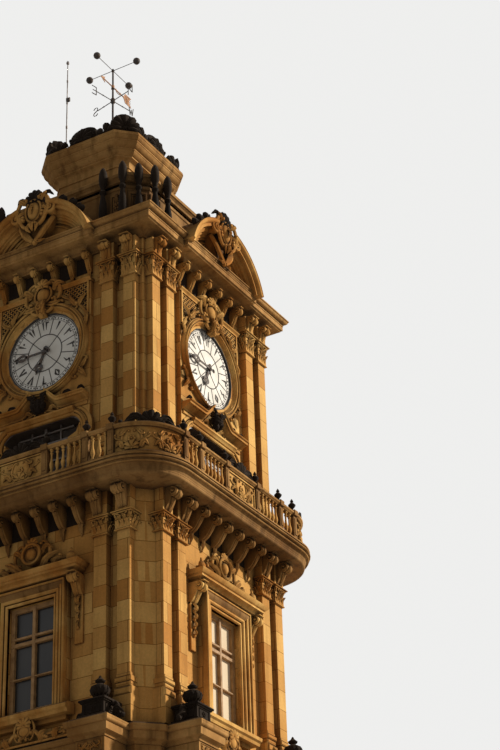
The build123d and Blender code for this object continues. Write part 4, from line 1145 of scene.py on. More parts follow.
def bent_round(relief, centre, radius):
    """Bend a flat relief round an upright arc whose middle faces the front."""
    bent = Relief()
    turned_points = []
    for u, v, w in relief.points:
        turn = u / radius
        reach = radius + w
        turned_points.append((reach * math.sin(turn), v, centre + reach * math.cos(turn)))
    bent.add(turned_points, relief.faces)
    return bent


CORNER_RADIUS = 0.93
CORNER_MIDDLE = (RAIL_PLANE - CORNER_RADIUS) * math.sqrt(2)
arc_half = CORNER_RADIUS * math.pi / 4
corner_backing = Relief()
for piece_step in range(16):
    left = -arc_half + 2 * arc_half * piece_step / 16
    corner_backing.block(left, left + arc_half / 8, RAIL_LOW_TOP, RAIL_CAP_LOW, -0.03, 0.006)
corner_backing.join(scroll_panel(0.36, 17.96, 18.41, 0.01), u=-0.36)
corner_backing.join(scroll_panel(0.36, 17.96, 18.41, 0.01), u=0.36)
set_out(
    "corner_scroll_panels", carve("corner_panel", bent_round(corner_backing, CORNER_MIDDLE, CORNER_RADIUS)),
    carved, first=45, replaced=["balustrade_corners"]
)

cresting = Relief()
cresting.shell((0, RAIL_TOP - 0.02), 0.24, 0.0, 7, 185, 1.0, 0.12)
for hand in (-1, 1):
    cresting.scroll((hand * 0.22, RAIL_TOP + 0.03), (hand * 0.58, RAIL_TOP + 0.05), "s", hand, 0.035, 0.0)
    cresting.leaf(
        [(hand * 0.12, RAIL_TOP, 0), (hand * 0.3, RAIL_TOP + 0.14, 0.02), (hand * 0.5, RAIL_TOP + 0.04, 0)],
        0.16
    )
set_out(
    "corner_cresting", carve("corner_crest", bent_round(cresting, CORNER_MIDDLE, CORNER_RADIUS)), blackened_and_shade,
    first=45
)
set_out("middle_cresting", carve("middle_crest", cresting), blackened_and_shade, [(0, -RAIL_PLANE, 0)])
print("balustrade:", {name: count for name, count in made.items()})

# %% [markdown]
# ## Four dials
# Each dial is a disc of white opal glass in a moulded stone ring. Its marks lie on the glass: thin
# rings, a track of sixty small squares, twelve lines that part the hours, and numerals cut as
# wedges, broad outside and thin inside. One square is modelled, and Geometry Nodes sets it sixty
# times around the dial and on all four sides.

# %% Mark the dials
DIAL = 21.10
DIAL_FACE = 2.36
GLASS_RADIUS = 0.85


def around_dial(radius, count, shift=0.0):
    """Places and turns of marks around the front dial, clockwise from twelve."""
    places = []
    turns = []
    for step in range(count):
        angle = 2 * math.pi * (step + shift) / count
        places.append((radius * math.sin(angle), -DIAL_FACE, DIAL + radius * math.cos(angle)))
        turns.append((0, angle, 0))
    return places, turns


def thin_ring(relief, radius, wide):
    """A thin painted ring on the dial's face."""
    relief.moulding(
        circle((0, DIAL), radius, 72), bar_profile(wide / 2, DIAL_FACE - 0.002, DIAL_FACE + 0.006),
        closed=True
    )


square = Relief()
square.block(-0.014, 0.014, -0.014, 0.014, -0.001, 0.006)
square_places, square_turns = around_dial(0.775, 60)
set_out("minute_squares", carve("square", square), dial_black, square_places, square_turns)

hour_line = Relief()
hour_line.block(-0.008, 0.008, 0.41, 0.815, -0.001, 0.005)
line_places, line_turns = around_dial(0.0, 12, 0.5)
set_out("hour_lines", carve("hour_line", hour_line), dial_black, line_places, line_turns)

rings = Relief()
thin_ring(rings, 0.41, 0.020)
thin_ring(rings, 0.738, 0.006)
thin_ring(rings, 0.818, 0.012)
for quarter in (45, 135, 225, 315):
    turn = math.radians(quarter)
    ends = [(r * math.sin(turn), DIAL + r * math.cos(turn), DIAL_FACE) for r in (0.05, 0.41)]
    rings.strip(ends, 0.008, 0.005, FILLET)
# A black iron rim holds the glass.
rings.moulding(
    circle((0, DIAL), 0.864, 72),
    [(-0.026, 2.35), (-0.026, 2.390), (-0.016, 2.398), (0.016, 2.398), (0.026, 2.385), (0.026, 2.35)],
    closed=True
)
set_out("dial_rings", carve("dial_rings", rings), dial_black)

# Each stroke of a numeral: across, outwards and half width at both of its ends.
NUMERALS = {
    1: [(0, 1, 0.15, 0, 0, 0.02)],
    2: [
        (-0.12, 1, 0.15, -0.02, 0, 0.02), (0, 0.82, 0.05, 0.26, 0.84, 0.09), (0.26, 0.8, 0.08, 0.26, 1, 0.03)
    ],
    3: [(-0.16, 1, 0.15, -0.06, 0, 0.02), (0, 0.8, 0.06, 0.4, 0.84, 0.09), (0.34, 0.8, 0.08, 0.36, 1, 0.03)],
    4: [
        (0.2, 1, 0.05, -0.2, 0.76, 0.13), (-0.2, 0.76, 0.1, 0.12, 0.56, 0.05),
        (0.12, 0.56, 0.1, -0.06, 0, 0.03)
    ],
    5: [
        (0, 1, 0.03, -0.24, 0.5, 0.13), (-0.24, 0.5, 0.13, 0, 0, 0.03), (0, 1, 0.03, 0.24, 0.5, 0.13),
        (0.24, 0.5, 0.13, 0, 0, 0.03)
    ],
    6: [(-0.3, 0.94, 0.07, 0.1, 0.94, 0.1), (0.1, 1, 0.15, 0.06, 0, 0.02)],
    7: [(-0.27, 1, 0.14, 0, 0, 0.03), (0.27, 1, 0.14, 0, 0, 0.03)],
    8: [(0, 1, 0.04, -0.26, 0, 0.13), (0, 1, 0.04, 0.26, 0, 0.13)],
    9: [
        (0.14, 1, 0.14, 0.08, 0, 0.02), (0.1, 0.95, 0.05, -0.2, 0.86, 0.1), (-0.2, 0.86, 0.1, 0.1, 0.62, 0.05)
    ],
    10: [(-0.16, 1, 0.15, -0.08, 0, 0.02), (0.26, 0.62, 0.1, 0.26, 0.42, 0.1)],
    11: [(-0.22, 1, 0.14, -0.10, 0, 0.02), (0.22, 1, 0.14, 0.10, 0, 0.02)],
    12: [(-0.34, 1, 0.13, -0.20, 0, 0.02), (0.12, 1, 0.13, 0.12, 0, 0.02), (0.2, 0.82, 0.05, 0.44, 0.9, 0.09)]
}
NUMERAL_LOW = 0.53
NUMERAL_TALL = 0.185
numerals = Relief()
for hour, strokes in NUMERALS.items():
    turn = 2 * math.pi * hour / 12
    for x0, y0, w0, x1, y1, w1 in strokes:
        run = math.hypot(x1 - x0, y1 - y0)
        side_x = (y1 - y0) / run
        side_y = -(x1 - x0) / run
        corners = []
        for x, y, w in ((x0, y0, w0), (x1, y1, w1), (x1, y1, -w1), (x0, y0, -w0)):
            across = NUMERAL_TALL * (x + side_x * w * 0.95)
            out = NUMERAL_LOW + NUMERAL_TALL * (y + side_y * w * 0.95)
            corners.append(
                (
                    across * math.cos(turn) + out * math.sin(turn),
                    DIAL - across * math.sin(turn) + out * math.cos(turn)
                )
            )
        numerals.plate(corners, DIAL_FACE - 0.002, DIAL_FACE + 0.007)
set_out("dial_numerals", carve("numerals", numerals), dial_black)

stone_ring = Relief()
ring_profile = [(0.849, 2.33), (0.849, 2.362), (0.880, 2.366), (0.892, 2.375), (0.952, 2.470), (0.958, 2.482)]
ring_profile += [
    (0.972, 2.486), (0.985, 2.468), (1.000, 2.468), (1.008, 2.498), (1.024, 2.510), (1.040, 2.498)
]
ring_profile += [(1.046, 2.468), (1.062, 2.464), (1.072, 2.448), (1.080, 2.430), (1.090, 2.40), (1.090, 2.38)]
stone_ring.moulding(circle((0, DIAL), 0.97, 90), [(0.97 - r, w) for r, w in ring_profile], closed=True)
set_out("dial_stone_rings", carve("stone_ring", stone_ring, 25), carved, replaced=["dial_surrounds"])
glass_disc = Relief()
glass_disc.plate(circle((0, DIAL), GLASS_RADIUS + 0.004, 72), 2.335, DIAL_FACE)
set_out("dial_glass", carve("dial_glass", glass_disc), opal, replaced=["clock_dials"])
print("dial marks:", {name: made[name] for name in ("minute_squares", "dial_numerals", "dial_stone_rings")})

# %% [markdown]
# ## The hands
# The hands are cut from black iron plate. Each has a pierced leaf near its tip, so a closed strip
# runs round the opening and the stem and the point are plates. A hand is drawn pointing up, turned
# clockwise by its time, and rides on its own body so that it moves with its joint.


# %% Cut the hands
def clock_hand(length, tail, broad, plane):
    """A pierced leaf hand that points to twelve."""
    hand = Relief()
    leaf_low = length * 0.56
    leaf_top = length * 0.86
    belly = leaf_low + 0.38 * (leaf_top - leaf_low)
    hand.plate(
        [(-0.55 * broad, -tail), (0.55 * broad, -tail), (0.42 * broad, leaf_low), (-0.42 * broad, leaf_low)],
        plane, plane + 0.012, 0.002
    )
    outline = [(0, leaf_low - 0.01), (0.85 * broad, leaf_low + 0.25 * (belly - leaf_low))]
    outline += [(1.15 * broad, belly), (0.62 * broad, belly + 0.55 * (leaf_top - belly)), (0, leaf_top)]
    ring = resample(np.array(outline), 13)
    loop = np.vstack((ring, [(-x, y) for x, y in ring[-2:0:-1]]))
    bar = 0.52 * broad
    hand.moulding(loop, bar_profile(bar, plane, plane + 0.012), closed=True)
    hand.plate(
        [
            (-0.26 * broad, leaf_top - 0.02), (0.26 * broad, leaf_top - 0.02), (0.05 * broad, length),
            (-0.05 * broad, length)
        ],
        plane, plane + 0.012
    )
    hand.plate(circle((0, -tail), 0.9 * broad, 16), plane, plane + 0.012, 0.002)
    hand.plate(circle((0, 0), 0.052, 24), plane, plane + 0.016, 0.003)
    hand.boss((0, 0, plane + 0.015), (0.03, 0.03, 0.018), 3, 16)
    return hand


def clocked(relief, degrees):
    """A hand turned clockwise from twelve and set on the dial's centre."""
    c = math.cos(math.radians(degrees))
    s = math.sin(math.radians(degrees))
    relief.points = [(u * c + v * s, DIAL - u * s + v * c, w) for u, v, w in relief.points]
    return relief


HANDS = {"hour": (0.50, 0.09, 0.062, 2.385, 202.5), "minute": (0.765, 0.12, 0.050, 2.412, 270)}
for index, side in enumerate(SIDES):
    for kind, (length, tail, broad, plane, degrees) in HANDS.items():
        node_name = f"{kind}_hand_{side}"
        shape = clocked(clock_hand(length, tail, broad, plane), degrees)
        set_out(
            f"{kind}_plate_{side}", carve("hand", shape), iron, repeats=1, first=90 * index, body=node_name,
            replaced=[node_name]
        )
print("hands:", [name for name in made if "plate" in name])

# %% [markdown]
# ## Capitals
# Pairs of flat pilasters flank every wall, and each ends in a composite capital: two tiers of
# acanthus leaves, a small flower, volutes under the corners and a moulded slab on top. The capital
# is drawn once about its own axis. Its front face is turned to both flanks, and the volutes are
# turned by 45 degrees so that they stand out over the corners.


# %% Carve the capitals
def leaf_tier(capital, spots, low, tall, wide, face):
    """A row of upright leaves whose tips curl forward, on a face at a distance out."""
    for u in spots:
        path = [
            (u, low, face + 0.005), (u, low + 0.55 * tall, face + 0.022),
            (u, low + 0.92 * tall, face + 0.055), (u, low + tall, face + 0.085),
            (u, low + 0.90 * tall, face + 0.098)
        ]
        capital.leaf(path, wide, 3, 0.22, 11)


def capital_face(half, low, top):
    """One face of a capital: its leaves, flower and festoon."""
    face = Relief()
    tall = top - low
    leaf_tier(face, (-0.66 * half, 0, 0.66 * half), low + 0.05 * tall, 0.36 * tall, 0.62 * half, half)
    leaf_tier(face, (-0.34 * half, 0.34 * half), low + 0.30 * tall, 0.38 * tall, 0.62 * half, half)
    face.rosette((0, top - 0.13 * tall, half + 0.03), 0.24 * half, 5, 0.5)
    for hand in (-1, 1):
        stalk = [
            (hand * 0.12 * half, low + 0.62 * tall, half + 0.01),
            (hand * 0.45 * half, low + 0.76 * tall, half + 0.03),
            (hand * 0.85 * half, low + 0.83 * tall, half + 0.05)
        ]
        face.strip(resample(stalk, 9), 0.016, 0.02)
    return face


def disc_on_edge(reach, height, radius, half_thick):
    """The solid disc behind a pair of volutes, seen on edge from the front."""
    disc = Relief()
    disc.slab(circle((reach, height), radius, 14), -half_thick, half_thick)
    return disc


def capital(half, low, top):
    """A composite capital on a pilaster, drawn about the pilaster's own axis."""
    whole = Relief()
    tall = top - low
    face = capital_face(half, low, top)
    for turn in (0, -90, 90):
        whole.join(turned_about(face, turn))
    for turn in (-45, 45, -135, 135):
        reach = half * 1.30
        flank = Relief()
        flank.volute((reach, top - 0.23 * tall), 0.30 * half + 0.01, -1, 90, 1.6, 0.0, 0.34, 20)
        for hand in (-1, 1):
            shifted = on_flank(flank, hand)
            shifted.points = [(u + hand * 0.012, v, w) for u, v, w in shifted.points]
            whole.join(turned_about(shifted, turn))
        whole.join(turned_about(disc_on_edge(reach, top - 0.23 * tall, 0.29 * half + 0.01, 0.016), turn))
    for reach, start, end in (
        (half + 0.03, low - 0.035, low - 0.012), (half + 0.012, low - 0.012, low + 0.01)
    ):
        whole.block(-reach, reach, start, end, -half, reach, 0.006)
    for reach, start, end in ((half + 0.055, top - 0.055, top - 0.022), (half + 0.085, top - 0.022, top)):
        whole.block(-reach, reach, start, end, -half, reach, 0.008)
    return whole


INNER = 1.55
OUTER = 2.065
CLOCK_PILASTER = 2.315
WINDOW_PILASTER = 2.495
for storey, low, top, out, outer in (
    ("clock", 22.21, 22.67, CLOCK_PILASTER, OUTER), ("window", 16.62, 16.96, WINDOW_PILASTER, OUTER - 0.005)
):
    head = carve("capital", capital(0.150, low, top))
    set_out(f"{storey}_storey_capitals", head, carved, places((INNER, outer), out))


def pilaster_foot(low, tall, half):
    """A pilaster's plinth with two rolls and a hollow on it."""
    foot = Relief()
    foot.block(-half - 0.055, half + 0.055, low, low + 0.55 * tall, -half, half + 0.055, 0.006)
    for reach, start, end in (
        (0.050, 0.55, 0.72), (0.022, 0.72, 0.83), (0.038, 0.83, 0.93), (0.014, 0.93, 1.0)
    ):
        bevel = 0.22 * tall * (end - start)
        foot.block(
            -half - reach, half + reach, low + start * tall, low + end * tall, -half, half + reach, bevel
        )
    return foot


for storey, low, tall, out, outer in (
    ("clock", 17.82, 0.86, CLOCK_PILASTER, OUTER), ("window", 12.90, 0.92, WINDOW_PILASTER, OUTER - 0.005)
):
    foot = carve("foot", pilaster_foot(low, tall, 0.135))
    set_out(f"{storey}_storey_pilaster_feet", foot, limestone, places((INNER, outer), out))
print("capitals:", made["clock_storey_capitals"], "and", made["window_storey_capitals"], "triangles")

# %% [markdown]
# ## Consoles
# Scroll brackets carry the main cornice and the balcony. A bracket is one side outline run across:
# a roll under the shelf, then a hollow sweep back to the wall. Spirals are laid on its flanks, and
# an acanthus leaf with a pear-shaped bead hangs down its front.


# %% Carve the consoles
def scroll_bracket(low, high, back, front, half, roll, leaf_wide):
    """A scroll bracket between a wall and a shelf's front."""
    bracket = Relief()
    shelf = high - 0.012
    middle = (front - roll - 0.015, shelf - roll)
    outline = [(back, low), (back, high), (front + 0.01, high), (front + 0.01, shelf), (front - 0.015, shelf)]
    outline += arc(middle, roll, 60, -120, 12)
    last = outline[-1]
    sweep = [last, (0.55 * last[0] + 0.45 * back, 0.35 * last[1] + 0.65 * low), (back + 0.045, low + 0.02)]
    outline += [tuple(spot) for spot in resample(sweep, 8)[1:]]
    bracket.slab(outline, -half, half)
    spiral = Relief()
    spiral.volute(middle, roll * 0.95, -1, 100, 1.5, half - 0.005, 0.24, 22)
    for hand in (-1, 1):
        bracket.join(on_flank(spiral, hand))
    front_line = [(0, v, w + 0.004) for w, v in outline[5:]]
    bracket.leaf(front_line[3:-1], leaf_wide, 4, 0.26, 13)
    bracket.strip(resample(front_line, 12), 0.012, 0.016)
    bracket.boss((0, middle[1] - roll * 0.35, middle[0] + roll * 0.75), (0.046, 0.090, 0.052), 4, 10)
    return bracket


def leaf_drop(low, high, face, wide=0.11):
    """A leaf and three buds that hang on the wall below a bracket."""
    drop = Relief()
    tall = high - low
    drop.leaf([(0, high, face + 0.03), (0, high - 0.5 * tall, face + 0.05), (0, low, face + 0.01)], wide, 4)
    for share, size in ((0.30, 0.030), (0.60, 0.024), (0.92, 0.017)):
        drop.boss((0, high - share * tall, face + 0.03), (size, 1.3 * size, size), 3, 8)
    return drop


BRACKETS = (0.21, 0.63, 1.05)
cornice_bracket = scroll_bracket(22.62, 23.05, 2.28, 2.60, 0.052, 0.075, 0.095)
cornice_bracket.join(leaf_drop(22.47, 22.74, 2.30))
set_out(
    "cornice_brackets", carve("bracket", cornice_bracket), carved, places(BRACKETS),
    replaced=["cornice_consoles"]
)
# Blackened plates on the wall between the brackets are painted shade, where the cornice and the slab throw
# shadow.
for name, low, high, out in (
    ("cornice_frieze_smoke", 22.68, 23.06, CLOCK_PILASTER),
    ("balcony_frieze_smoke", 17.04, 17.46, WINDOW_PILASTER)
):
    frieze_shade = Relief()
    for middle in both((0.42, 0.84)) + [0]:
        frieze_shade.block(middle - 0.14, middle + 0.14, low, high, out - 0.06, out, 0.004)
    set_out(name, carve(name, frieze_shade), blackened_and_shade)
pilaster_bracket = scroll_bracket(22.69, 23.05, 2.45, 2.665, 0.105, 0.070, 0.15)
for hand in (-1, 1):
    pilaster_bracket.volute((hand * 0.10, 22.80), 0.05, hand, 90, 1.3, 2.47, 0.3, 16)
set_out("pilaster_frieze_brackets", carve("bracket", pilaster_bracket), carved, places((INNER, OUTER)))

slab_bracket = scroll_bracket(16.96, 17.45, 2.46, 2.945, 0.060, 0.090, 0.105)
slab_bracket.join(leaf_drop(16.76, 17.10, 2.48, 0.14))
# The balcony brackets take the weathered stone, darker with painted shade under the slab.
set_out(
    "balcony_brackets", carve("bracket", slab_bracket), weathered_and_shaded, places(BRACKETS),
    replaced=["balcony_consoles"]
)
outer_slab_bracket = scroll_bracket(17.00, 17.45, 2.62, 2.945, 0.100, 0.095, 0.15)
set_out("balcony_pilaster_brackets", carve("bracket", outer_slab_bracket), weathered_and_shaded, places((1.51, OUTER)))
print("brackets:", {name: count for name, count in made.items() if "bracket" in name})

# %% [markdown]
# ## Around the dials
# Above each dial an oval cartouche stands between scrolls, and its lowest scroll hangs over the
# dial's ring like a keystone. Pierced diaper work with scrolled edges fills the corners beside it.
# Lattice bars are cut to the corner's outline, so one pitch and one bar size describe it all, and a
# blackened plate behind them is painted shade for the hollow behind the lattice.

# %% Carve the cartouches and the corners beside them
PANEL_FACE = 2.40


def corner_fill():
    """The right corner above the dial: a lattice field, its scrolled edges and leaves."""
    corner = Relief()
    field = [(0.40, 22.37), (1.04, 22.37), (1.04, 21.72), (0.82, 21.92)]
    corner.lattice(field, 0.075, 0.020, PANEL_FACE)
    corner.moulding(
        [(0.36, 22.40), (1.07, 22.40), (1.07, 21.66)],
        bar_profile(0.018, PANEL_FACE - 0.01, PANEL_FACE + 0.035)
    )
    edge = resample(
        [
            (1.07, 21.60), (1.00, 21.72), (0.93, 21.83), (0.82, 21.96), (0.66, 22.09), (0.50, 22.19),
            (0.38, 22.30)
        ],
        18
    )
    corner.strip([(u, v, PANEL_FACE) for u, v in edge], 0.030, 0.055)
    corner.scroll((0.46, 22.12), (0.80, 21.92), "c", 1, 0.034, PANEL_FACE + 0.02)
    corner.scroll((0.78, 21.98), (1.04, 21.62), "c", 1, 0.034, PANEL_FACE + 0.02)
    corner.leaf([(0.80, 21.90, 2.42), (0.70, 22.05, 2.47), (0.62, 22.22, 2.43)], 0.14)
    corner.leaf([(0.84, 21.90, 2.42), (0.94, 21.98, 2.47), (1.03, 22.12, 2.43)], 0.13)
    corner.boss((0.82, 21.94, 2.44), (0.045, 0.045, 0.05), 3, 8)
    corner.leaf([(1.03, 21.70, 2.41), (1.06, 21.50, 2.46), (1.01, 21.34, 2.42)], 0.12)
    return corner


def low_corner():
    """Leaves at the ring's lower right, and the panel's edge below them."""
    corner = Relief()
    corner.scroll((0.80, 20.28), (1.05, 20.62), "c", -1, 0.032, PANEL_FACE + 0.02)
    corner.leaf([(0.88, 20.42, 2.42), (0.97, 20.34, 2.47), (1.06, 20.20, 2.43)], 0.14)
    corner.leaf([(0.94, 20.46, 2.42), (1.03, 20.52, 2.47), (1.08, 20.68, 2.43)], 0.12)
    corner.rosette((0.92, 20.44, 2.43), 0.06, 5)
    return corner


clock_dressing = corner_fill()
clock_dressing.join(low_corner())
clock_dressing.mirrored()
set_out("dial_corner_carving", carve("corners", clock_dressing), carved)
# The plates behind the lattices are painted shade.
hollows = Relief()
for hand in (-1, 1):
    field = [(hand * 0.40, 22.37), (hand * 1.04, 22.37), (hand * 1.04, 21.72), (hand * 0.82, 21.92)]
    hollows.plate(field[::hand], PANEL_FACE - 0.02, PANEL_FACE + 0.004)
set_out("dial_corner_hollows", carve("hollows", hollows), blackened_and_shade)

crest = Relief()
crest.boss((0, 22.40, PANEL_FACE), (0.17, 0.19, 0.14), 4, 18)
crest.strip([(u, v, PANEL_FACE + 0.04) for u, v in circle((0, 22.40), 0.205, 32)], 0.030, 0.055, closed=True)
for hand in (-1, 1):
    crest.scroll((hand * 0.16, 22.64), (hand * 0.30, 22.24), "c", -hand, 0.045, PANEL_FACE + 0.05)
    crest.scroll((hand * 0.26, 22.22), (hand * 0.07, 22.02), "c", -hand, 0.040, PANEL_FACE + 0.07)
    crest.leaves(
        hand, (0.15, (0.12, 22.14, 2.46), (0.32, 22.08, 2.52), (0.46, 22.16, 2.44)),
        (0.15, (0.25, 22.45, 2.45), (0.38, 22.56, 2.50), (0.52, 22.54, 2.43)),
        (0.12, (0.05, 22.20, 2.50), (0.07, 22.06, 2.58), (0.02, 21.93, 2.56))
    )
crest.shell((0, 22.56), 0.17, 2.47, 7, 190, 1.0, 0.3)
keystone = [
    (2.40, 21.88), (2.40, 22.22), (2.55, 22.22), (2.595, 22.15), (2.60, 22.06), (2.575, 21.97), (2.54, 21.90)
]
crest.slab(keystone, -0.085, 0.085)
crest.volute((0, 22.06), 0.085, 1, 90, 1.3, 2.595, 0.3, 18)
crest.boss((0, 21.90, 2.52), (0.055, 0.085, 0.055), 3, 10)
for hand in (-1, 1):
    crest.strip(
        [(hand * 0.062, 22.22, 2.56), (hand * 0.062, 22.05, 2.60), (hand * 0.05, 21.92, 2.56)], 0.016, 0.02
    )
set_out("dial_cartouches", carve("cartouche", crest), carved)

# The panel's top moulding swings up over the cartouche.
shoulder = 0.30
top_line = [(-1.14, 22.44), (-shoulder - 0.04, 22.44), (-shoulder, 22.46)]
top_line += [
    tuple(spot)
    for spot in resample(
        [(-shoulder, 22.47), (-0.24, 22.60), (0, 22.68), (0.24, 22.60), (shoulder, 22.47)], 13
    )
]
top_line += [(shoulder, 22.46), (shoulder + 0.04, 22.44), (1.14, 22.44)]
top_moulding = Relief()
top_moulding.moulding(
    top_line, [(-0.035, 2.28), (-0.035, 2.43), (-0.012, 2.445), (0.008, 2.47), (0.03, 2.48), (0.035, 2.28)]
)
set_out("dial_panel_tops", carve("panel_top", top_moulding, 25), moulded)
print("around the dials:", {name: made[name] for name in ("dial_corner_carving", "dial_cartouches")})

# %% [markdown]
# ## Balcony doors and their hoods
# Each side has a glazed door below the dial. Its stone frame has a lobed head, and a swan-necked
# hood swings up from both ears to the foot of the ring, where dark leaves fill the join. Door,
# frame and hood all follow one outline, so a moulding is run along that outline at three sizes.

# %% Frame the balcony doors
DOOR_HALF = 0.62
SLAB_TOP = 17.82


def lobed_head(grow_by=0.0):
    """The outline of the door's opening, from the right foot over the head to the left foot."""
    half = DOOR_HALF + grow_by
    right = [(half, SLAB_TOP), (half, 18.86 - 0.4 * grow_by)]
    right += arc((0.64, 19.15), 0.30 + grow_by, -66, 88, 14)
    return right + [(-u, v) for u, v in reversed(right)]


door_frame = Relief()
for grow_by, wide, low, high in (
    (0.035, 0.035, 2.10, 2.445), (0.095, 0.030, 2.10, 2.475), (0.135, 0.014, 2.30, 2.44),
    (0.190, 0.050, 2.10, 2.415)
):
    door_frame.moulding(lobed_head(grow_by), fillet_profile(wide, low, high, 0.4))
lintel = [(2.38, 19.44), (2.44, 19.44), (2.455, 19.46), (2.455, 19.49), (2.48, 19.50), (2.50, 19.54)]
lintel += [(2.525, 19.56), (2.525, 19.60), (2.48, 19.62), (2.38, 19.62)]
door_frame.slab(lintel, -0.80, 0.80)
for hand in (-1, 1):
    door_frame.volute((hand * 0.79, 18.87), 0.075, hand, 200, 1.3, 2.44, 0.34, 18)
    door_frame.leaf(
        [(hand * 0.98, 19.02, 2.40), (hand * 1.05, 18.86, 2.45), (hand * 0.99, 18.70, 2.41)], 0.13
    )
    door_frame.block(hand * 0.98 - 0.10, hand * 0.98 + 0.10, 17.84, 18.62, 2.38, 2.43, 0.012)
    door_frame.block(hand * 0.98 - 0.055, hand * 0.98 + 0.055, 17.95, 18.52, 2.42, 2.445, 0.008)
set_out("balcony_door_frames", carve("door_frame", door_frame, 28), moulded)


def swan_neck():
    """The hood's line from its outer ear, level and then up to the middle, as (across, height)."""
    level = [(1.10, 19.76), (0.90, 19.76), (0.50, 19.76)]
    neck = resample([(0.50, 19.76), (0.43, 19.78), (0.33, 19.87), (0.22, 19.98), (0.13, 20.06)], 8)
    return level[:-1] + [(u, v) for u, v in neck]


hood_profile = [(-0.085, 2.38), (-0.085, 2.44), (-0.055, 2.455), (-0.025, 2.51), (0.0, 2.555), (0.012, 2.56)]
hood_profile += [(0.012, 2.60), (0.055, 2.605), (0.065, 2.63), (0.085, 2.64), (0.085, 2.38)]
hoods = Relief()
# The profile's height is measured to the left of the path, so both halves are drawn rightwards.
hoods.moulding([(-u, v) for u, v in swan_neck()], hood_profile)
hoods.moulding(list(reversed(swan_neck())), hood_profile)
for hand in (-1, 1):
    hoods.scroll((hand * 0.12, 19.66), (hand * 0.42, 19.66), "s", hand, 0.030, 2.44)
    hoods.leaf([(hand * 0.18, 19.68, 2.42), (hand * 0.30, 19.76, 2.47), (hand * 0.40, 19.68, 2.42)], 0.12)
    hoods.block(hand * 0.80 - 0.28, hand * 0.80 + 0.28, 19.60, 19.69, 2.38, 2.43, 0.01)
set_out("balcony_door_hoods", carve("hoods", hoods, 28), carved, replaced=["door_hoods"])
hood_tips = Relief()
for hand in (-1, 1):
    hood_tips.volute((hand * 0.12, 19.99), 0.060, hand, 60, 1.4, 2.58, 0.34, 20)
    hood_tips.leaves(
        hand, (0.11, (0.10, 19.95, 2.56), (0.19, 20.02, 2.60), (0.28, 20.00, 2.56)),
        (0.14, (0.52, 19.85, 2.46), (0.66, 19.95, 2.52), (0.80, 19.90, 2.48)),
        (0.12, (0.88, 19.85, 2.46), (0.98, 19.96, 2.52), (1.06, 19.92, 2.48))
    )
for lift, wide in ((0.0, 0.20), (0.08, 0.18)):
    for lean in (-0.10, 0, 0.10):
        hood_tips.leaf(
            [(0.5 * lean, 19.70 + lift, 2.46), (lean, 19.80 + lift, 2.56), (1.6 * lean, 19.88 + lift, 2.57)],
            wide
        )
for across, height in ((0, 19.88), (-0.09, 19.82), (0.09, 19.82), (0, 19.74)):
    hood_tips.boss((across, height, 2.50), (0.075, 0.085, 0.085), 3, 10)
set_out("hood_leaves", carve("hood_leaves", hood_tips), blackened_and_shade)

doors = Relief()
DOOR_FACE = 2.20
for hand in (-1, 1):
    doors.moulding(
        [(hand * 0.05, 17.90), (hand * 0.57, 17.90), (hand * 0.57, 19.02), (hand * 0.05, 19.02)],
        bar_profile(0.035, DOOR_FACE - 0.01, DOOR_FACE + 0.05), closed=True
    )
    doors.block(*sorted((hand * 0.08, hand * 0.54)), 17.93, 18.34, DOOR_FACE - 0.01, DOOR_FACE + 0.03, 0.02)
    doors.block(*sorted((hand * 0.14, hand * 0.48)), 17.99, 18.28, DOOR_FACE + 0.02, DOOR_FACE + 0.045, 0.015)
    for height in (18.38, 18.70):
        doors.block(
            *sorted((hand * 0.05, hand * 0.57)), height - 0.016, height + 0.016, DOOR_FACE - 0.01,
            DOOR_FACE + 0.045
        )
doors.block(-0.035, 0.035, 17.86, 19.62, DOOR_FACE - 0.01, DOOR_FACE + 0.07, 0.01)
doors.block(-0.66, 0.66, 19.03, 19.11, DOOR_FACE - 0.01, DOOR_FACE + 0.06, 0.01)
doors.block(-0.66, 0.66, 19.30, 19.34, DOOR_FACE - 0.01, DOOR_FACE + 0.05, 0.006)
for hand in (-1, 1):
    doors.block(*sorted((hand * 0.33, hand * 0.36)), 19.10, 19.62, DOOR_FACE - 0.01, DOOR_FACE + 0.05, 0.006)
# A lining in the door's dark wood finish runs round the reveal as painted shade, so the opening reads black.
doors.moulding(lobed_head(-0.012), bar_profile(0.012, 2.06, 2.40))
set_out("balcony_door_bars", carve("doors", doors), wood)
print(
    "doors:",
    {name: made[name] for name in ("balcony_door_frames", "balcony_door_hoods", "balcony_door_bars")}
)

# %% [markdown]
# ## Tall windows
# The storey below has one tall window on each side. An architrave with three fillets frames it,
# long brackets with leaf drops carry a straight hood, and a carved crest stands on the hood. The
# glass is parted by a middle bar and cross bars, which are painted brown. The storey below repeats
# the same window, so one loop makes both.

# %% Frame the tall windows
WINDOW_HALF = 0.52
WINDOW_LOW = 13.56
WINDOW_TOP = 15.65
GLASS_FACE = 2.42


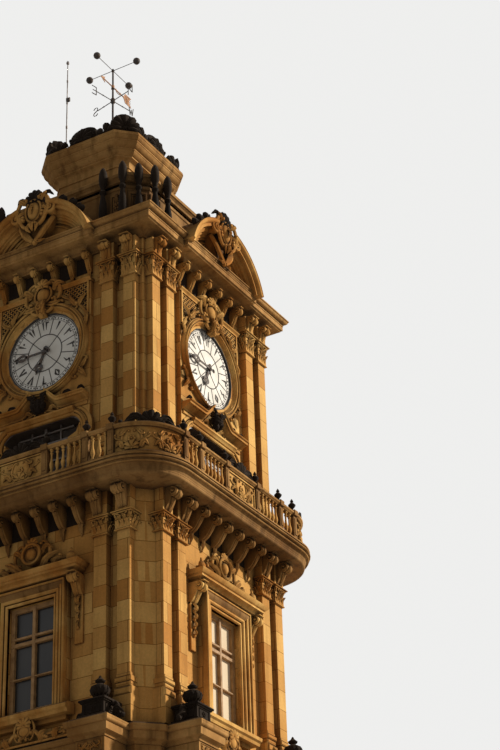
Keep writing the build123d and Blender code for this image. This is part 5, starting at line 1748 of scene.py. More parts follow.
def window_frame(low, top, face, wall_face):
    """The sashes and bars of a tall window and the moulded stone frame around it."""
    bars = Relief()
    bars.moulding(
        rectangle(WINDOW_HALF - 0.04, low + 0.04, top - 0.04), bar_profile(0.045, face - 0.01, face + 0.06),
        closed=True
    )
    bars.block(-0.035, 0.035, low + 0.02, top - 0.02, face - 0.01, face + 0.075, 0.008)
    tall = top - low
    for share, thick in ((0.655, 0.035), (0.715, 0.022), (0.335, 0.014)):
        height = low + share * tall
        bars.block(-WINDOW_HALF, WINDOW_HALF, height - thick, height + thick, face - 0.01, face + 0.07, 0.006)
    frame = Relief()
    for grow_by, wide, high in (
        (0.03, 0.030, 0.035), (0.11, 0.040, 0.065), (0.20, 0.035, 0.095), (0.27, 0.022, 0.12)
    ):
        half = WINDOW_HALF + grow_by
        edge = [(half, low - 0.16), (half, top + grow_by), (-half, top + grow_by), (-half, low - 0.16)]
        frame.moulding(edge, fillet_profile(wide, wall_face - 0.06, wall_face + high, 0.5))
    sill = [(wall_face - 0.1, low - 0.22), (wall_face + 0.13, low - 0.22), (wall_face + 0.15, low - 0.17)]
    sill += [
        (wall_face + 0.19, low - 0.14), (wall_face + 0.20, low - 0.08), (wall_face + 0.12, low - 0.03),
        (wall_face - 0.1, low - 0.01)
    ]
    frame.slab(sill, -0.94, 0.94)
    return bars, frame


def window_panes(low, top, face):
    """The window's glass, set shallow behind the frame."""
    panes = Relief()
    panes.plate(rectangle(WINDOW_HALF, low, top), face - 0.03, face)
    return panes


SECOND_LOW = 8.26
SECOND_TOP = 10.35
WINDOWS = {
    "tall": (WINDOW_LOW, WINDOW_TOP, GLASS_FACE), "second_storey": (SECOND_LOW, SECOND_TOP, GLASS_FACE + 0.08)
}
for name, sizes in WINDOWS.items():
    set_out(f"{name}_window_panes", carve("panes", window_panes(*sizes)), glass)
for name, wall_face in (("tall", 2.59), ("second_storey", 2.67)):
    window_bars, window_stone = window_frame(*WINDOWS[name], wall_face)
    set_out(f"{name}_window_bars", carve("bars", window_bars), paint)
    set_out(f"{name}_window_frames", carve("frame", window_stone, 26), moulded)


def hood_on_brackets(low, half, face, front):
    """A straight hood with its moulded front."""
    hood = Relief()
    rim = [(0.0, 0.0), (0.03, 0.01), (0.05, 0.05), (0.09, 0.075), (0.125, 0.08), (0.125, 0.125)]
    rim += [(0.15, 0.135), (0.19, 0.18), (0.20, 0.21)]
    ring = []
    for out, up in rim:
        ring.append(
            [(half - 0.2 + out, low + up, face - 0.05), (half - 0.2 + out, low + up, front - 0.2 + out)]
        )
        ring[-1] += [
            (-half + 0.2 - out, low + up, front - 0.2 + out), (-half + 0.2 - out, low + up, face - 0.05)
        ]
    points = [point for row in ring for point in row]
    faces = []
    for row in range(len(ring) - 1):
        for col in range(3):
            faces.append((row * 4 + col, row * 4 + col + 1, row * 4 + col + 5, row * 4 + col + 4))
    last = (len(ring) - 1) * 4
    faces.append((0, 1, 2, 3))
    faces.append((last, last + 1, last + 2, last + 3))
    faces.append(
        tuple(row * 4 for row in range(len(ring))) + tuple(row * 4 + 3 for row in reversed(range(len(ring))))
    )
    hood.add(points, faces)
    return hood


HOOD_LOW = 15.97
window_hood = hood_on_brackets(HOOD_LOW, 1.22, 2.48, 2.89)
set_out("tall_window_hoods", carve("hood", window_hood, 26), moulded, replaced=["window_hoods"])
lower_hood = hood_on_brackets(10.68, 1.22, 2.56, 2.97)
set_out("second_storey_window_hoods", carve("hood", lower_hood, 26), moulded)


def side_bracket(low, top, face, front, half):
    """A long bracket beside a window, with a scroll at its head and a drop of leaves below."""
    bracket = scroll_bracket(top - 0.42, top, face, front, half, 0.085, 0.12)
    bracket.block(-half, half, low + 0.45, top - 0.38, face - 0.02, face + 0.05, 0.01)
    for step in range(4):
        spot = top - 0.50 - 0.16 * step
        wide = 0.15 - 0.025 * step
        bracket.leaf(
            [(0, spot + 0.10, face + 0.04), (0, spot, face + 0.11), (0, spot - 0.08, face + 0.06)], wide
        )
        bracket.boss((0, spot - 0.05, face + 0.06), (0.035, 0.04, 0.045), 2, 8)
    return bracket


for name, low, top, face, front in (
    ("tall", 14.2, HOOD_LOW, 2.48, 2.82), ("second_storey", 8.9, 10.68, 2.56, 2.90)
):
    side = carve("bracket", side_bracket(low, top, face, front, 0.09))
    set_out(f"{name}_window_brackets", side, carved, places([1.02]))
hood_crest = Relief()
round_line = [
    (0.20 * math.cos(a), 16.62 + 0.20 * math.sin(a), 2.62) for a in np.linspace(0, 2 * math.pi, 29)[:-1]
]
hood_crest.strip(round_line, 0.032, 0.055, closed=True)
hood_crest.plate([(u, v) for u, v, w in round_line], 2.48, 2.60, 0.015)
hood_crest.boss((0, 16.62, 2.60), (0.11, 0.13, 0.09), 4, 14)
hood_crest.shell((0, 16.78), 0.15, 2.60, 7, 180)
for hand in (-1, 1):
    hood_crest.scroll((hand * 0.20, 16.80), (hand * 0.28, 16.44), "c", -hand, 0.036, 2.58)
    hood_crest.scroll((hand * 0.30, 16.36), (hand * 0.66, 16.44), "s", hand, 0.045, 2.60)
    hood_crest.scroll((hand * 0.58, 16.26), (hand * 0.98, 16.30), "s", hand, 0.038, 2.60)
    hood_crest.leaves(
        hand, (0.20, (0.22, 16.24, 2.60), (0.40, 16.44, 2.67), (0.62, 16.56, 2.60)),
        (0.17, (0.46, 16.22, 2.60), (0.60, 16.36, 2.66), (0.76, 16.38, 2.58)),
        (0.13, (0.20, 16.60, 2.58), (0.34, 16.72, 2.63), (0.46, 16.66, 2.56))
    )
    hood_crest.boss((hand * 0.93, 16.32, 2.66), (0.095, 0.12, 0.09), 4, 12)
    hood_crest.boss((hand * 0.93, 16.45, 2.66), (0.035, 0.06, 0.035), 3, 10)
    hood_crest.block(hand * 0.93 - 0.07, hand * 0.93 + 0.07, 16.17, 16.24, 2.58, 2.74, 0.01)
set_out("tall_window_crests", carve("crest", hood_crest), carved)
lower_crest = hood_crest.moved(0, -5.29, 0.08)
set_out("second_storey_window_crests", carve("crest", lower_crest), carved)
# The cushion frieze under the hood takes the smoked stone as the hood's painted shadow.
frieze = Relief()
cushion = [(2.50, 15.95)] + [
    (2.66 + 0.035 * math.sin(math.pi * s), 15.95 + 0.17 * (s - 1)) for s in np.linspace(0, 1, 7)[::-1]
] + [(2.50, 15.78)]
frieze.slab(cushion[::-1], -0.76, 0.76)
set_out("tall_window_friezes", carve("frieze", frieze), smoked_and_shaded)
print("windows:", {name: count for name, count in made.items() if "window" in name})

# %% [markdown]
# ## Broken pediments
# A segmental pediment stands on each break of the cornice. Its raking cornice has the crown that
# the level one leaves out, and it is cut open at the top: both ends roll into volutes beside an
# oval cartouche. Cloth hangs in a V from the volutes to a knot. One profile, given as radius and
# distance out, is swept along each arc.

# %% Raise the pediments
PEDIMENT_MIDDLE = 22.93
PEDIMENT_RADIUS = 1.465
PEDIMENT_FOOT = 23.36
TYMPANUM_FACE = 2.55


def arc_foot(radius):
    """The angle at which an arc of this radius stands on the cornice's break."""
    return math.degrees(math.asin((PEDIMENT_FOOT - PEDIMENT_MIDDLE) / radius))


raking_profile = [(1.085, 2.30), (1.085, 2.585), (1.10, 2.60), (1.125, 2.605), (1.13, 2.64)]
raking_profile += [(1.17, 2.655), (1.185, 2.69), (1.215, 2.70), (1.225, 2.74), (1.30, 2.775), (1.305, 2.87)]
raking_profile += [(1.365, 2.872), (1.37, 2.885)]
raking_profile += swell((1.372, 2.888), (1.452, 2.945), -0.22)
raking_profile += [(1.455, 2.955), (PEDIMENT_RADIUS, 2.955), (PEDIMENT_RADIUS, 2.30)]


def raking_arc(hand):
    """One arc of the pediment, each line of its profile swept to its own foot."""
    rows = 64
    points = []
    for share in np.arange(rows) / (rows - 1):
        for radius, out in raking_profile:
            angle = math.radians(arc_foot(radius) * (1 - share) + 76 * share)
            points.append((hand * radius * math.cos(angle), PEDIMENT_MIDDLE + radius * math.sin(angle), out))
    arch = Relief()
    arch.add(points, grid_faces(rows, len(raking_profile)))
    return arch


pediment = Relief()
tympanum_arc = arc((0, PEDIMENT_MIDDLE), 1.40, arc_foot(1.40), 180 - arc_foot(1.40), 31)
pediment.plate(tympanum_arc, 2.11, TYMPANUM_FACE)
panel_arc = arc((0, PEDIMENT_MIDDLE), 1.03, 29, 151, 27)
pediment.moulding(
    panel_arc, [(-0.02, 2.54), (-0.02, 2.57), (0.0, 2.58), (0.02, 2.57), (0.02, 2.54)], closed=True
)
for hand in (-1, 1):
    pediment.join(raking_arc(hand))
    eye = (hand * 0.405, 24.165)
    pediment.volute(eye, 0.155, -hand, 90, 1.6, 2.86, 0.30, 30)
    disc = circle(eye, 0.135, 22)
    pediment.plate(disc, 2.45, 2.88, 0.012)
set_out("raking_cornices", carve("pediment", pediment, 26), moulded)

shield = Relief()
shield.boss((0, 24.22, 2.84), (0.155, 0.225, 0.11), 5, 20)
shield.plate(
    [(0.25 * math.cos(a), 24.22 + 0.31 * math.sin(a)) for a in np.linspace(0, 2 * math.pi, 29)[:-1]], 2.40,
    2.85, 0.02
)
oval = [
    (0.190 * math.cos(a), 24.22 + 0.265 * math.sin(a), 2.86) for a in np.linspace(0, 2 * math.pi, 33)[:-1]
]
shield.strip(oval, 0.028, 0.05, closed=True)
for hand in (-1, 1):
    shield.scroll((hand * 0.16, 24.50), (hand * 0.235, 24.05), "c", -hand, 0.045, 2.88)
    shield.scroll((hand * 0.24, 24.12), (hand * 0.08, 23.88), "c", -hand, 0.042, 2.88)
    shield.leaves(
        hand, (0.13, (0.19, 24.44, 2.87), (0.30, 24.52, 2.92), (0.33, 24.62, 2.87)),
        (0.12, (0.07, 23.92, 2.86), (0.12, 23.80, 2.92), (0.05, 23.70, 2.88)),
        (0.11, (0.20, 24.24, 2.86), (0.31, 24.20, 2.91), (0.36, 24.08, 2.87))
    )
shield.leaf([(0, 24.30, 2.93), (0, 24.20, 2.985), (0, 24.10, 2.95)], 0.12, 3)
shield.rosette((0, 24.33, 2.93), 0.05, 6)
shield.leaf([(0, 23.96, 2.86), (0, 23.84, 2.94), (0, 23.72, 2.89)], 0.16)
# Cloth hangs from both volutes to a knot on the cornice.
for hand in (-1, 1):
    for shift, wide in ((0.0, 0.060), (0.055, 0.045), (0.10, 0.035)):
        fold = resample(
            [
                (hand * (0.40 - shift), 24.02, 2.72), (hand * (0.30 - shift), 23.80, 2.79),
                (hand * (0.17 - 0.7 * shift), 23.62, 2.81), (hand * 0.03, 23.50, 2.80)
            ],
            14
        )
        shield.strip(fold, wide, wide * 1.1)
    shield.leaf([(hand * 0.05, 23.50, 2.80), (hand * 0.16, 23.46, 2.84), (hand * 0.26, 23.50, 2.80)], 0.10)
shield.boss((0, 23.49, 2.78), (0.075, 0.065, 0.075), 3, 10)
backing_cloth = [(-0.42, 24.02), (-0.08, 23.47), (0.08, 23.47), (0.42, 24.02)]
shield.plate(backing_cloth, 2.40, 2.74, 0.02)
set_out("pediment_cartouches", carve("shield", shield), carved, replaced=["pediments"])

crest_leaves = Relief()
crest_leaves.shell((0, 24.46), 0.25, 2.82, 9, 200, 1.0, 0.3)
crest_leaves.boss((0, 24.50, 2.72), (0.20, 0.20, 0.12), 4, 14)
for hand in (-1, 1):
    for angle, long in ((62, 0.13), (50, 0.12), (40, 0.10)):
        turn = math.radians(angle)
        root = (hand * PEDIMENT_RADIUS * math.cos(turn), PEDIMENT_MIDDLE + PEDIMENT_RADIUS * math.sin(turn))
        crest_leaves.boss((root[0], root[1] + 0.4 * long, 2.78), (0.10, long, 0.10), 4, 10)
        crest_leaves.volute((root[0], root[1] + 0.35 * long), 0.09, hand, 60, 1.4, 2.84, 0.34, 18)
    crest_leaves.leaf(
        [(hand * 0.22, 24.52, 2.80), (hand * 0.34, 24.60, 2.85), (hand * 0.46, 24.50, 2.80)], 0.14
    )
set_out("pediment_crests", carve("crests", crest_leaves), blackened_and_shade)
print(
    "pediments:", {name: made[name] for name in ("raking_cornices", "pediment_cartouches", "pediment_crests")}
)

# %% [markdown]
# ## Attic
# Behind the pediments stands an attic with cut corners and sunk panels, and above it a slim drum
# carries the crown. Straight lengths of moulding could be mitred one by one. One outline run around
# the whole plan is shorter, and it closes at every corner.

# %% Build the attic's mouldings, panels and finials
ATTIC_FACE = 2.10
attic_top_outline = [(0.0, 24.58), (0.02, 24.60), (0.02, 24.66), (0.0, 24.68), (0.0, 24.74), (0.04, 24.76)]
attic_top_outline += swell((0.05, 24.77), (0.09, 24.85), -0.2)
attic_top_outline += [(0.105, 24.86), (0.105, 24.93), (0.085, 24.945), (0.0, 24.955)]
run_cornice("attic_top_mouldings", square_plan(ATTIC_FACE, cut=0.36), attic_top_outline, 0.2, smoked_and_shaded, sharp=26)
attic_foot_outline = [(0.0, 23.56), (0.07, 23.57), (0.07, 23.70), (0.045, 23.74), (0.04, 23.78), (0.0, 23.80)]
run_cornice(
    "attic_foot_mouldings", square_plan(ATTIC_FACE, cut=0.36), attic_foot_outline, 0.1, smoked_and_shaded, sharp=26
)


def sunk_panel(half_wide, low, high, face):
    """A raised frame around a sunk panel with a carved lozenge in it."""
    panel = Relief()
    for grow_by, wide, proud in ((0.0, 0.03, 0.035), (-0.06, 0.015, 0.02)):
        half = half_wide + grow_by
        panel.moulding(
            rectangle(half, low - grow_by, high + grow_by),
            [
                (-wide, face - 0.01), (-wide, face + proud * 0.7), (0, face + proud),
                (wide, face + proud * 0.7), (wide, face - 0.01)
            ],
            closed=True
        )
    middle = (low + high) / 2
    panel.rosette((0, middle, face + 0.01), min(half_wide, 0.12) * 0.8, 6)
    for hand in (-1, 1):
        panel.leaf(
            [
                (0, middle + hand * 0.08, face + 0.01), (0, middle + hand * 0.2, face + 0.05),
                (0, middle + hand * 0.32, face + 0.01)
            ],
            0.12
        )
    return panel


side_panel = Relief()
for place in (-1.55, 1.55):
    side_panel.join(sunk_panel(0.15, 23.92, 24.48, ATTIC_FACE), u=place)
set_out("attic_side_panels", carve("panels", side_panel), smoked_and_shaded)
corner_face = (2 * ATTIC_FACE - 0.36) / math.sqrt(2)
corner_panel = sunk_panel(0.17, 23.92, 24.48, corner_face)
set_out("attic_corner_panels", carve("corner_panels", corner_panel), smoked_and_shaded, first=45)

slender_outline = [(0.085, 23.53), (0.085, 23.62), (0.060, 23.66), (0.052, 23.74), (0.075, 23.86)]
slender_outline += [(0.088, 24.00), (0.080, 24.20), (0.055, 24.38), (0.045, 24.46), (0.070, 24.50)]
slender_outline += [(0.074, 24.54), (0.045, 24.58), (0.055, 24.66), (0.082, 24.74), (0.092, 24.86)]
slender_outline += [(0.088, 24.98), (0.070, 25.06), (0.040, 25.12), (0.020, 25.15), (0.006, 25.16)]
FINIAL_OUT = ATTIC_FACE + 0.162
CUT_MIDDLE = ATTIC_FACE - 0.18 + 0.102
CUT_EDGE = ATTIC_FACE - 0.36 + 0.042
finial_spots = [(CUT_MIDDLE, -CUT_MIDDLE, 0), (CUT_EDGE, -FINIAL_OUT, 0), (-CUT_EDGE, -FINIAL_OUT, 0)]
finial_spots += [(1.30, -FINIAL_OUT, 0), (-1.30, -FINIAL_OUT, 0)]
set_out(
    "attic_finials", turned_piece("slender", slender_outline, 14), blackened_and_shade, finial_spots,
    replaced=["cornice_finials"]
)

cap_base_outline = [(0.0, 25.00), (0.06, 25.0), (0.06, 25.12), (0.03, 25.16), (0.0, 25.2)]
run_cornice("drum_foot_mouldings", square_plan(0.93, cut=0.30), cap_base_outline, 0.1, smoked_and_shaded, sharp=26)
print("attic:", {name: made[name] for name in made if "attic" in name})

# %% [markdown]
# ## Crown
# The drum ends in an eight-sided cap of thin fillets and hollows. Shells crown its edge, tall ones
# over the corners and lower ones over the sides. A shell could be sculpted by hand, but ribs fanned
# from one point make it crisp, and a few numbers size it. Smoke has made the shells nearly black.

# %% Build the crown
CAP_TOP = 26.95
cap_outline = [(1.197, 24.95), (1.197, 25.01), (0.30, 25.12), (-0.013, 25.28), (-0.013, 26.20)]
cap_outline += [(0.012, 26.21), (0.012, 26.25), (0.0, 26.26)]
cap_outline += swell((0.005, 26.27), (0.10, 26.42), -0.2)
cap_outline += [(0.108, 26.425), (0.108, 26.455), (0.12, 26.46)]
cap_outline += swell((0.12, 26.465), (0.195, 26.56), 0.1)
cap_outline += [(0.203, 26.565), (0.203, 26.60), (0.213, 26.605)]
cap_outline += swell((0.215, 26.61), (0.290, 26.72), 0.1)
cap_outline += [(0.298, 26.725), (0.298, 26.765), (0.308, 26.77)]
cap_outline += swell((0.31, 26.775), (0.342, 26.86), 0.1)
cap_outline += [
    (0.350, 26.865), (0.350, 26.905), (0.338, 26.91), (0.338, 26.945), (0.30, CAP_TOP),
    (-0.27, CAP_TOP + 0.005)
]
run_cornice(
    "crown_cap_mouldings", square_plan(0.943, cut=0.185), cap_outline, 0.29, weathered_and_shaded, ("crown_cap",), 26
)
deck = Relief()
deck.plate(rectangle(0.7, -0.7, 0.7), 0, 0.01)
deck_mesh = Relief()
deck_mesh.add([(x, y, 26.941 + z) for x, y, z in deck.points], deck.faces)
keep(make_object("crown_deck", deck_mesh.points, deck_mesh.faces), smoked_and_shaded)


def crown_shell(half, tall, out, thick, ribs):
    """A shell between two small scrolls, standing on the cap's edge."""
    shell = Relief()
    foot = CAP_TOP
    outline = [(half, foot), (0.98 * half, foot + 0.50 * tall), (0.80 * half, foot + 0.80 * tall)]
    outline += [(0.42 * half, foot + 0.96 * tall), (0, foot + tall)]
    ring = resample(outline, 11)
    whole_outline = [tuple(spot) for spot in ring] + [(-u, v) for u, v in ring[-2::-1]]
    shell.plate(whole_outline, out, out + 0.55 * thick, 0.02)
    shell.shell((0, foot + 0.26 * tall), 0.60 * tall, out + 0.5 * thick, ribs, 190, 0.9, 0.22)
    for hand in (-1, 1):
        shell.scroll(
            (hand * 0.30 * half, foot + 0.15 * tall), (hand * 0.86 * half, foot + 0.50 * tall), "s", hand,
            0.045, out + 0.5 * thick
        )
        shell.leaf(
            [
                (hand * 0.15 * half, foot + 0.05 * tall, out + 0.5 * thick),
                (hand * 0.6 * half, foot + 0.12 * tall, out + 0.75 * thick),
                (hand * 0.98 * half, foot + 0.05 * tall, out + 0.5 * thick)
            ],
            0.2 * tall
        )
        shell.volute(
            (hand * 0.80 * half, foot + 0.16 * tall), 0.16 * tall, -hand, 90, 1.4, out + 0.5 * thick, 0.3, 20
        )
    shell.cartouche((0, foot + 0.38 * tall), 0.55 * half, 0.45 * tall, out + 0.62 * thick)
    return shell


side_shell = crown_shell(0.37, 0.47, 1.045, 0.19, 7)
set_out("crown_side_shells", carve("side_shell", side_shell), blackened_and_shade, replaced=["crown_ornaments"])
corner_shell = crown_shell(0.265, 0.58, 1.275, 0.18, 7)
set_out("crown_corner_shells", carve("corner_shell", corner_shell), blackened_and_shade, first=45)
lobes = Relief()
for hand in (-1, 1):
    lobes.shell((hand * 0.62, 26.97), 0.26, 1.13, 5, 180, 1.0, 0.25)
    lobes.boss((hand * 0.62, 26.98, 1.08), (0.20, 0.20, 0.10), 3, 12)
set_out("crown_lobes", carve("lobes", lobes), blackened_and_shade)
print("crown:", {name: made[name] for name in made if "crown" in name})

# %% [markdown]
# ## Vane and lightning rod
# A black iron mast carries a compass cross with its four letters, a gilt arrow that turns with the
# wind, and a rotor of four hemispherical cups. Arrow and rotor ride on their own bodies, because
# each turns about the mast. The letters are bent from the same round bar, so they are strips too.

# %% Forge the mast, the arrow and the rotor
COMPASS = 28.92
ARROW = 29.32
ROTOR = 29.79
COMPASS_ARM = 0.64
ROTOR_ARM = 0.65


def bar(relief, start, end, radius):
    """A round iron bar between two points."""
    relief.strip([start, end], radius, radius, FINE_ROUND)


mast_outline = [(0.15, CAP_TOP), (0.15, 26.99), (0.10, 27.02), (0.07, 27.12), (0.045, 27.20), (0.06, 27.23)]
mast_outline += [(0.03, 27.27), (0.024, 27.40), (0.024, 28.30), (0.034, 28.32), (0.034, 28.36)]
mast_outline += [(0.024, 28.38), (0.024, 28.84), (0.045, 28.86), (0.055, 28.89), (0.055, 28.95)]
mast_outline += [(0.045, 28.98), (0.024, 29.0), (0.022, 29.255), (0.040, 29.26), (0.040, 29.279)]
mast_outline += [(0.022, 29.281), (0.021, 29.755), (0.010, 29.76), (0.010, 29.80)]
mast = turned_piece("vane_mast_turned", mast_outline, 16)
keep(mast, iron, replaced=["vane_mast"])
LETTERS = {
    "N": [[(-1, -1), (-1, 1)], [(-1, 1), (1, -1)], [(1, -1), (1, 1)]],
    "S": [
        [
            (1, 0.7), (0.5, 1), (-0.5, 1), (-1, 0.6), (-0.8, 0.15), (0.8, -0.2), (1, -0.6), (0.5, -1),
            (-0.5, -1), (-1, -0.7)
        ]
    ],
    "E": [[(1, 1), (-1, 1)], [(-1, 1), (-1, -1)], [(-1, -1), (1, -1)], [(-1, 0), (0.6, 0)]],
    "W": [[(-1, 1), (-0.5, -1)], [(-0.5, -1), (0, 0.5)], [(0, 0.5), (0.5, -1)], [(0.5, -1), (1, 1)]]
}


def compass_arm(letter):
    """An arm of the compass cross with its letter at the end."""
    arm = Relief()
    bar(arm, (0, COMPASS, 0.03), (0, COMPASS, COMPASS_ARM - 0.13), 0.010)
    arm.boss((0, COMPASS, 0.30), (0.018, 0.018, 0.018), 3, 8)
    for stroke in LETTERS[letter]:
        line = [(0.0, COMPASS + 0.105 * v, COMPASS_ARM - 0.065 + 0.065 * u) for u, v in stroke]
        smooth = resample(line, 19) if len(line) > 2 else np.array(line)
        arm.strip(smooth, 0.010, 0.010, FINE_ROUND)
    return arm


for letter, turn in (("E", -13), ("N", 77), ("W", 167), ("S", 257)):
    set_out(f"compass_{letter}", carve("arm", compass_arm(letter)), iron, repeats=1, first=turn)

# The arrow lies along the front-to-back line, so it is drawn as a side view and put on a flank.
flat = Relief()
flat.strip([(0.44, ARROW, 0.0), (-0.46, ARROW, 0.0)], 0.013, 0.013, FINE_ROUND)
flat.plate([(0.50, ARROW), (0.32, ARROW + 0.08), (0.36, ARROW), (0.32, ARROW - 0.08)], -0.006, 0.006)
tail = [(-0.40, ARROW), (-0.46, ARROW + 0.05), (-0.50, ARROW + 0.13), (-0.75, ARROW + 0.13)]
tail += [(-0.68, ARROW + 0.06), (-0.66, ARROW), (-0.68, ARROW - 0.06), (-0.75, ARROW - 0.13)]
tail += [(-0.50, ARROW - 0.13), (-0.46, ARROW - 0.05)]
flat.plate(tail, -0.006, 0.006)
for height in (-0.09, -0.045, 0.0, 0.045, 0.09):
    flat.strip([(-0.48, ARROW + 0.8 * height, 0.004), (-0.72, ARROW + 1.1 * height, 0.004)], 0.004, 0.008)
flat.scroll((-0.30, ARROW + 0.02), (-0.12, ARROW + 0.02), "c", 1, 0.010, 0.0)
arrow = carve("arrow", on_flank(flat, 1))
set_out("arrow_plate", arrow, gilt, repeats=1, body="wind_arrow", replaced=["wind_arrow"])
collar_outline = [(0.0255, ARROW - 0.0395), (0.036, ARROW - 0.0395), (0.038, ARROW - 0.03), (0.034, ARROW)]
collar_outline += [(0.040, ARROW + 0.03), (0.030, ARROW + 0.04), (0.0255, ARROW + 0.04)]
keep(turned_piece("arrow_collar", collar_outline, 20, ring=True), gilt, body="wind_arrow")

cup_ring = Relief()
for quarter in range(4):
    turn = math.pi / 2 * quarter
    way = (math.cos(turn), math.sin(turn))
    cup_ring.strip(
        [
            (0.02 * way[0], ROTOR, 0.02 * way[1]),
            ((ROTOR_ARM - 0.05) * way[0], ROTOR, (ROTOR_ARM - 0.05) * way[1])
        ],
        0.0075, 0.0075, FINE_ROUND
    )
rotor_arms = carve("rotor_arms", cup_ring)
set_out("rotor_bars", rotor_arms, iron, repeats=1, body="anemometer_rotor", replaced=["anemometer_rotor"])
cup_outline = [
    (0.0, -0.082), (0.045, -0.070), (0.070, -0.042), (0.083, 0.0), (0.072, 0.045), (0.045, 0.072),
    (0.0, 0.083)
]
cup = turned_piece("cup", [(max(r, 0.001), z) for r, z in cup_outline], 16, 60)
set_out(
    "rotor_cups", cup, iron, [(x, y, ROTOR) for x, y in four_sides([(ROTOR_ARM, 0)])], repeats=1,
    body="anemometer_rotor"
)
hub_outline = [
    (0.0125, ROTOR - 0.029), (0.030, ROTOR - 0.029), (0.034, ROTOR - 0.01), (0.034, ROTOR + 0.02),
    (0.022, ROTOR + 0.035)
]
hub_outline += [(0.016, ROTOR + 0.05), (0.0125, ROTOR + 0.05)]
keep(turned_piece("rotor_hub", hub_outline, 20, ring=True), iron, body="anemometer_rotor")

ROD_PLACE = (-0.45, -1.15, 0)
rod_outline = [(0.060, CAP_TOP), (0.060, 26.975), (0.022, 26.99), (0.0135, 27.05), (0.0135, 27.58)]
rod_outline += [
    (0.021, 27.59), (0.021, 27.66), (0.013, 27.67), (0.013, 28.27), (0.021, 28.28), (0.021, 28.35)
]
rod_outline += [
    (0.012, 28.36), (0.012, 28.87), (0.019, 28.88), (0.019, 28.94), (0.0115, 28.95), (0.0115, 29.38)
]
rod_outline += [(0.030, 29.40), (0.036, 29.43), (0.030, 29.46), (0.012, 29.48), (0.003, 29.497)]
rod = turned_piece("rod", rod_outline, 12)
set_out("rod_turned", rod, bright_iron, [ROD_PLACE], repeats=1, replaced=["lightning_rod"])
clamp = Relief()
clamp.block(-0.022, 0.022, 28.34, 28.44, -0.02, 0.02, 0.004)
clamp.block(0.01, 0.072, 28.33, 28.43, -0.02, 0.02, 0.006)
set_out("rod_clamp", carve("clamp", clamp), iron, [ROD_PLACE], repeats=1)
print("vane:", {name: made[name] for name in ("vane_mast_turned", "arrow_plate", "rotor_cups", "rod_turned")})

# %% [markdown]
# ## Urns and the storey below
# Dark urns on small pedestals stand over the columns of the storey below. An urn is turned, so it
# is an outline spun about its axis, like a baluster. The entablature under them steps forward over
# each column, so its mouldings run round one plan that has those steps in it.

# %% Turn the urns and set their pedestals
COLUMN_PLACE = 1.80
COLUMN_REACH = 2.96
over_columns = places([COLUMN_PLACE], COLUMN_REACH)
urn_outline = [(0.13, 13.255), (0.13, 13.29), (0.075, 13.31), (0.055, 13.335), (0.095, 13.36)]
urn_outline += [(0.148, 13.38), (0.170, 13.42), (0.172, 13.46), (0.152, 13.515), (0.100, 13.545)]
urn_outline += [(0.060, 13.56), (0.050, 13.58), (0.085, 13.605), (0.092, 13.63), (0.055, 13.66)]
urn_outline += [(0.030, 13.685), (0.022, 13.71), (0.004, 13.73)]
set_out("storey_urns", turned_piece("urn", urn_outline, 18), blackened_and_shade, over_columns, replaced=["urns"])
gadroons = Relief()
for turn in range(12):
    rib = Relief()
    rib.strip(
        [(0, 13.34, 0.112), (0, 13.40, 0.158), (0, 13.46, 0.174), (0, 13.51, 0.154)],
        [0.012, 0.020, 0.022, 0.014], 0.010
    )
    gadroons.join(turned_about(rib, 30 * turn))
set_out("urn_gadroons", carve("gadroon", gadroons), blackened_and_shade, over_columns)

pedestal = Relief()
for half, low, high, bevel in (
    (0.275, 12.88, 12.955, 0.01), (0.225, 12.955, 13.19, 0.004), (0.250, 13.18, 13.205, 0.008),
    (0.275, 13.205, 13.24, 0.008), (0.235, 13.24, 13.26, 0.006)
):
    pedestal.block(-half, half, low, high, -half, half, bevel)
sunk = Relief()
sunk.moulding(rectangle(0.16, 12.99, 13.15), [(-0.012, 0.22), (0, 0.24), (0.012, 0.22)], closed=True)
sunk.rosette((0, 13.07, 0.225), 0.055, 6)
for turn in QUARTERS:
    pedestal.join(turned_about(sunk, turn))
for hand in (-1, 1):
    pedestal.scroll((hand * 0.28, 13.16), (hand * 0.46, 12.93), "s", hand, 0.045, -0.02)
    pedestal.leaf([(hand * 0.28, 12.93, -0.02), (hand * 0.38, 13.06, 0.05), (hand * 0.50, 12.97, 0.0)], 0.14)
set_out("urn_pedestals", carve("pedestal", pedestal, 28), blackened_and_shade, over_columns)
print("urns:", {name: made[name] for name in made if "urn_" in name})

# %% [markdown]
# ## The entablature and its cresting
# A carved cresting of scrolls and shells runs along the entablature between the pedestals, with a
# taller piece in the middle under the window.

# %% Run the entablature
def stepped_plan(half, cut, step_half, reach):
    """A square plan with cut corners that steps forward twice on each side."""
    side = [(-half + cut, -half)]
    for place in (-COLUMN_PLACE, COLUMN_PLACE):
        side += [(place - step_half, -half), (place - step_half, -reach)]
        side += [(place + step_half, -reach), (place + step_half, -half)]
    return four_sides([*side, (half - cut, -half)])


entablature = [(0.0, 11.90), (0.0, 12.01), (0.018, 12.02), (0.018, 12.13), (0.03, 12.135)]
entablature += swell((0.03, 12.135), (0.06, 12.19), -0.2) + [(0.065, 12.21), (0.0, 12.22), (0.0, 12.50)]
entablature += [(0.02, 12.505)] + swell((0.02, 12.51), (0.06, 12.57), -0.2)
entablature += [(0.10, 12.59), (0.105, 12.63), (0.11, 12.72), (0.125, 12.725)]
entablature += swell((0.125, 12.725), (0.155, 12.79), 0.2) + [(0.16, 12.80), (0.16, 12.83), (0.04, 12.90)]
run_cornice(
    "second_entablature_mouldings", stepped_plan(2.59, 0.32, 0.30, COLUMN_REACH + 0.30), entablature, 0.25,
    weathered_and_shaded, ("second_entablature",)
)
frieze_panel = Relief()
frieze_panel.moulding(rectangle(0.24, 12.26, 12.47), [(-0.012, 3.25), (0, 3.272), (0.012, 3.25)], closed=True)
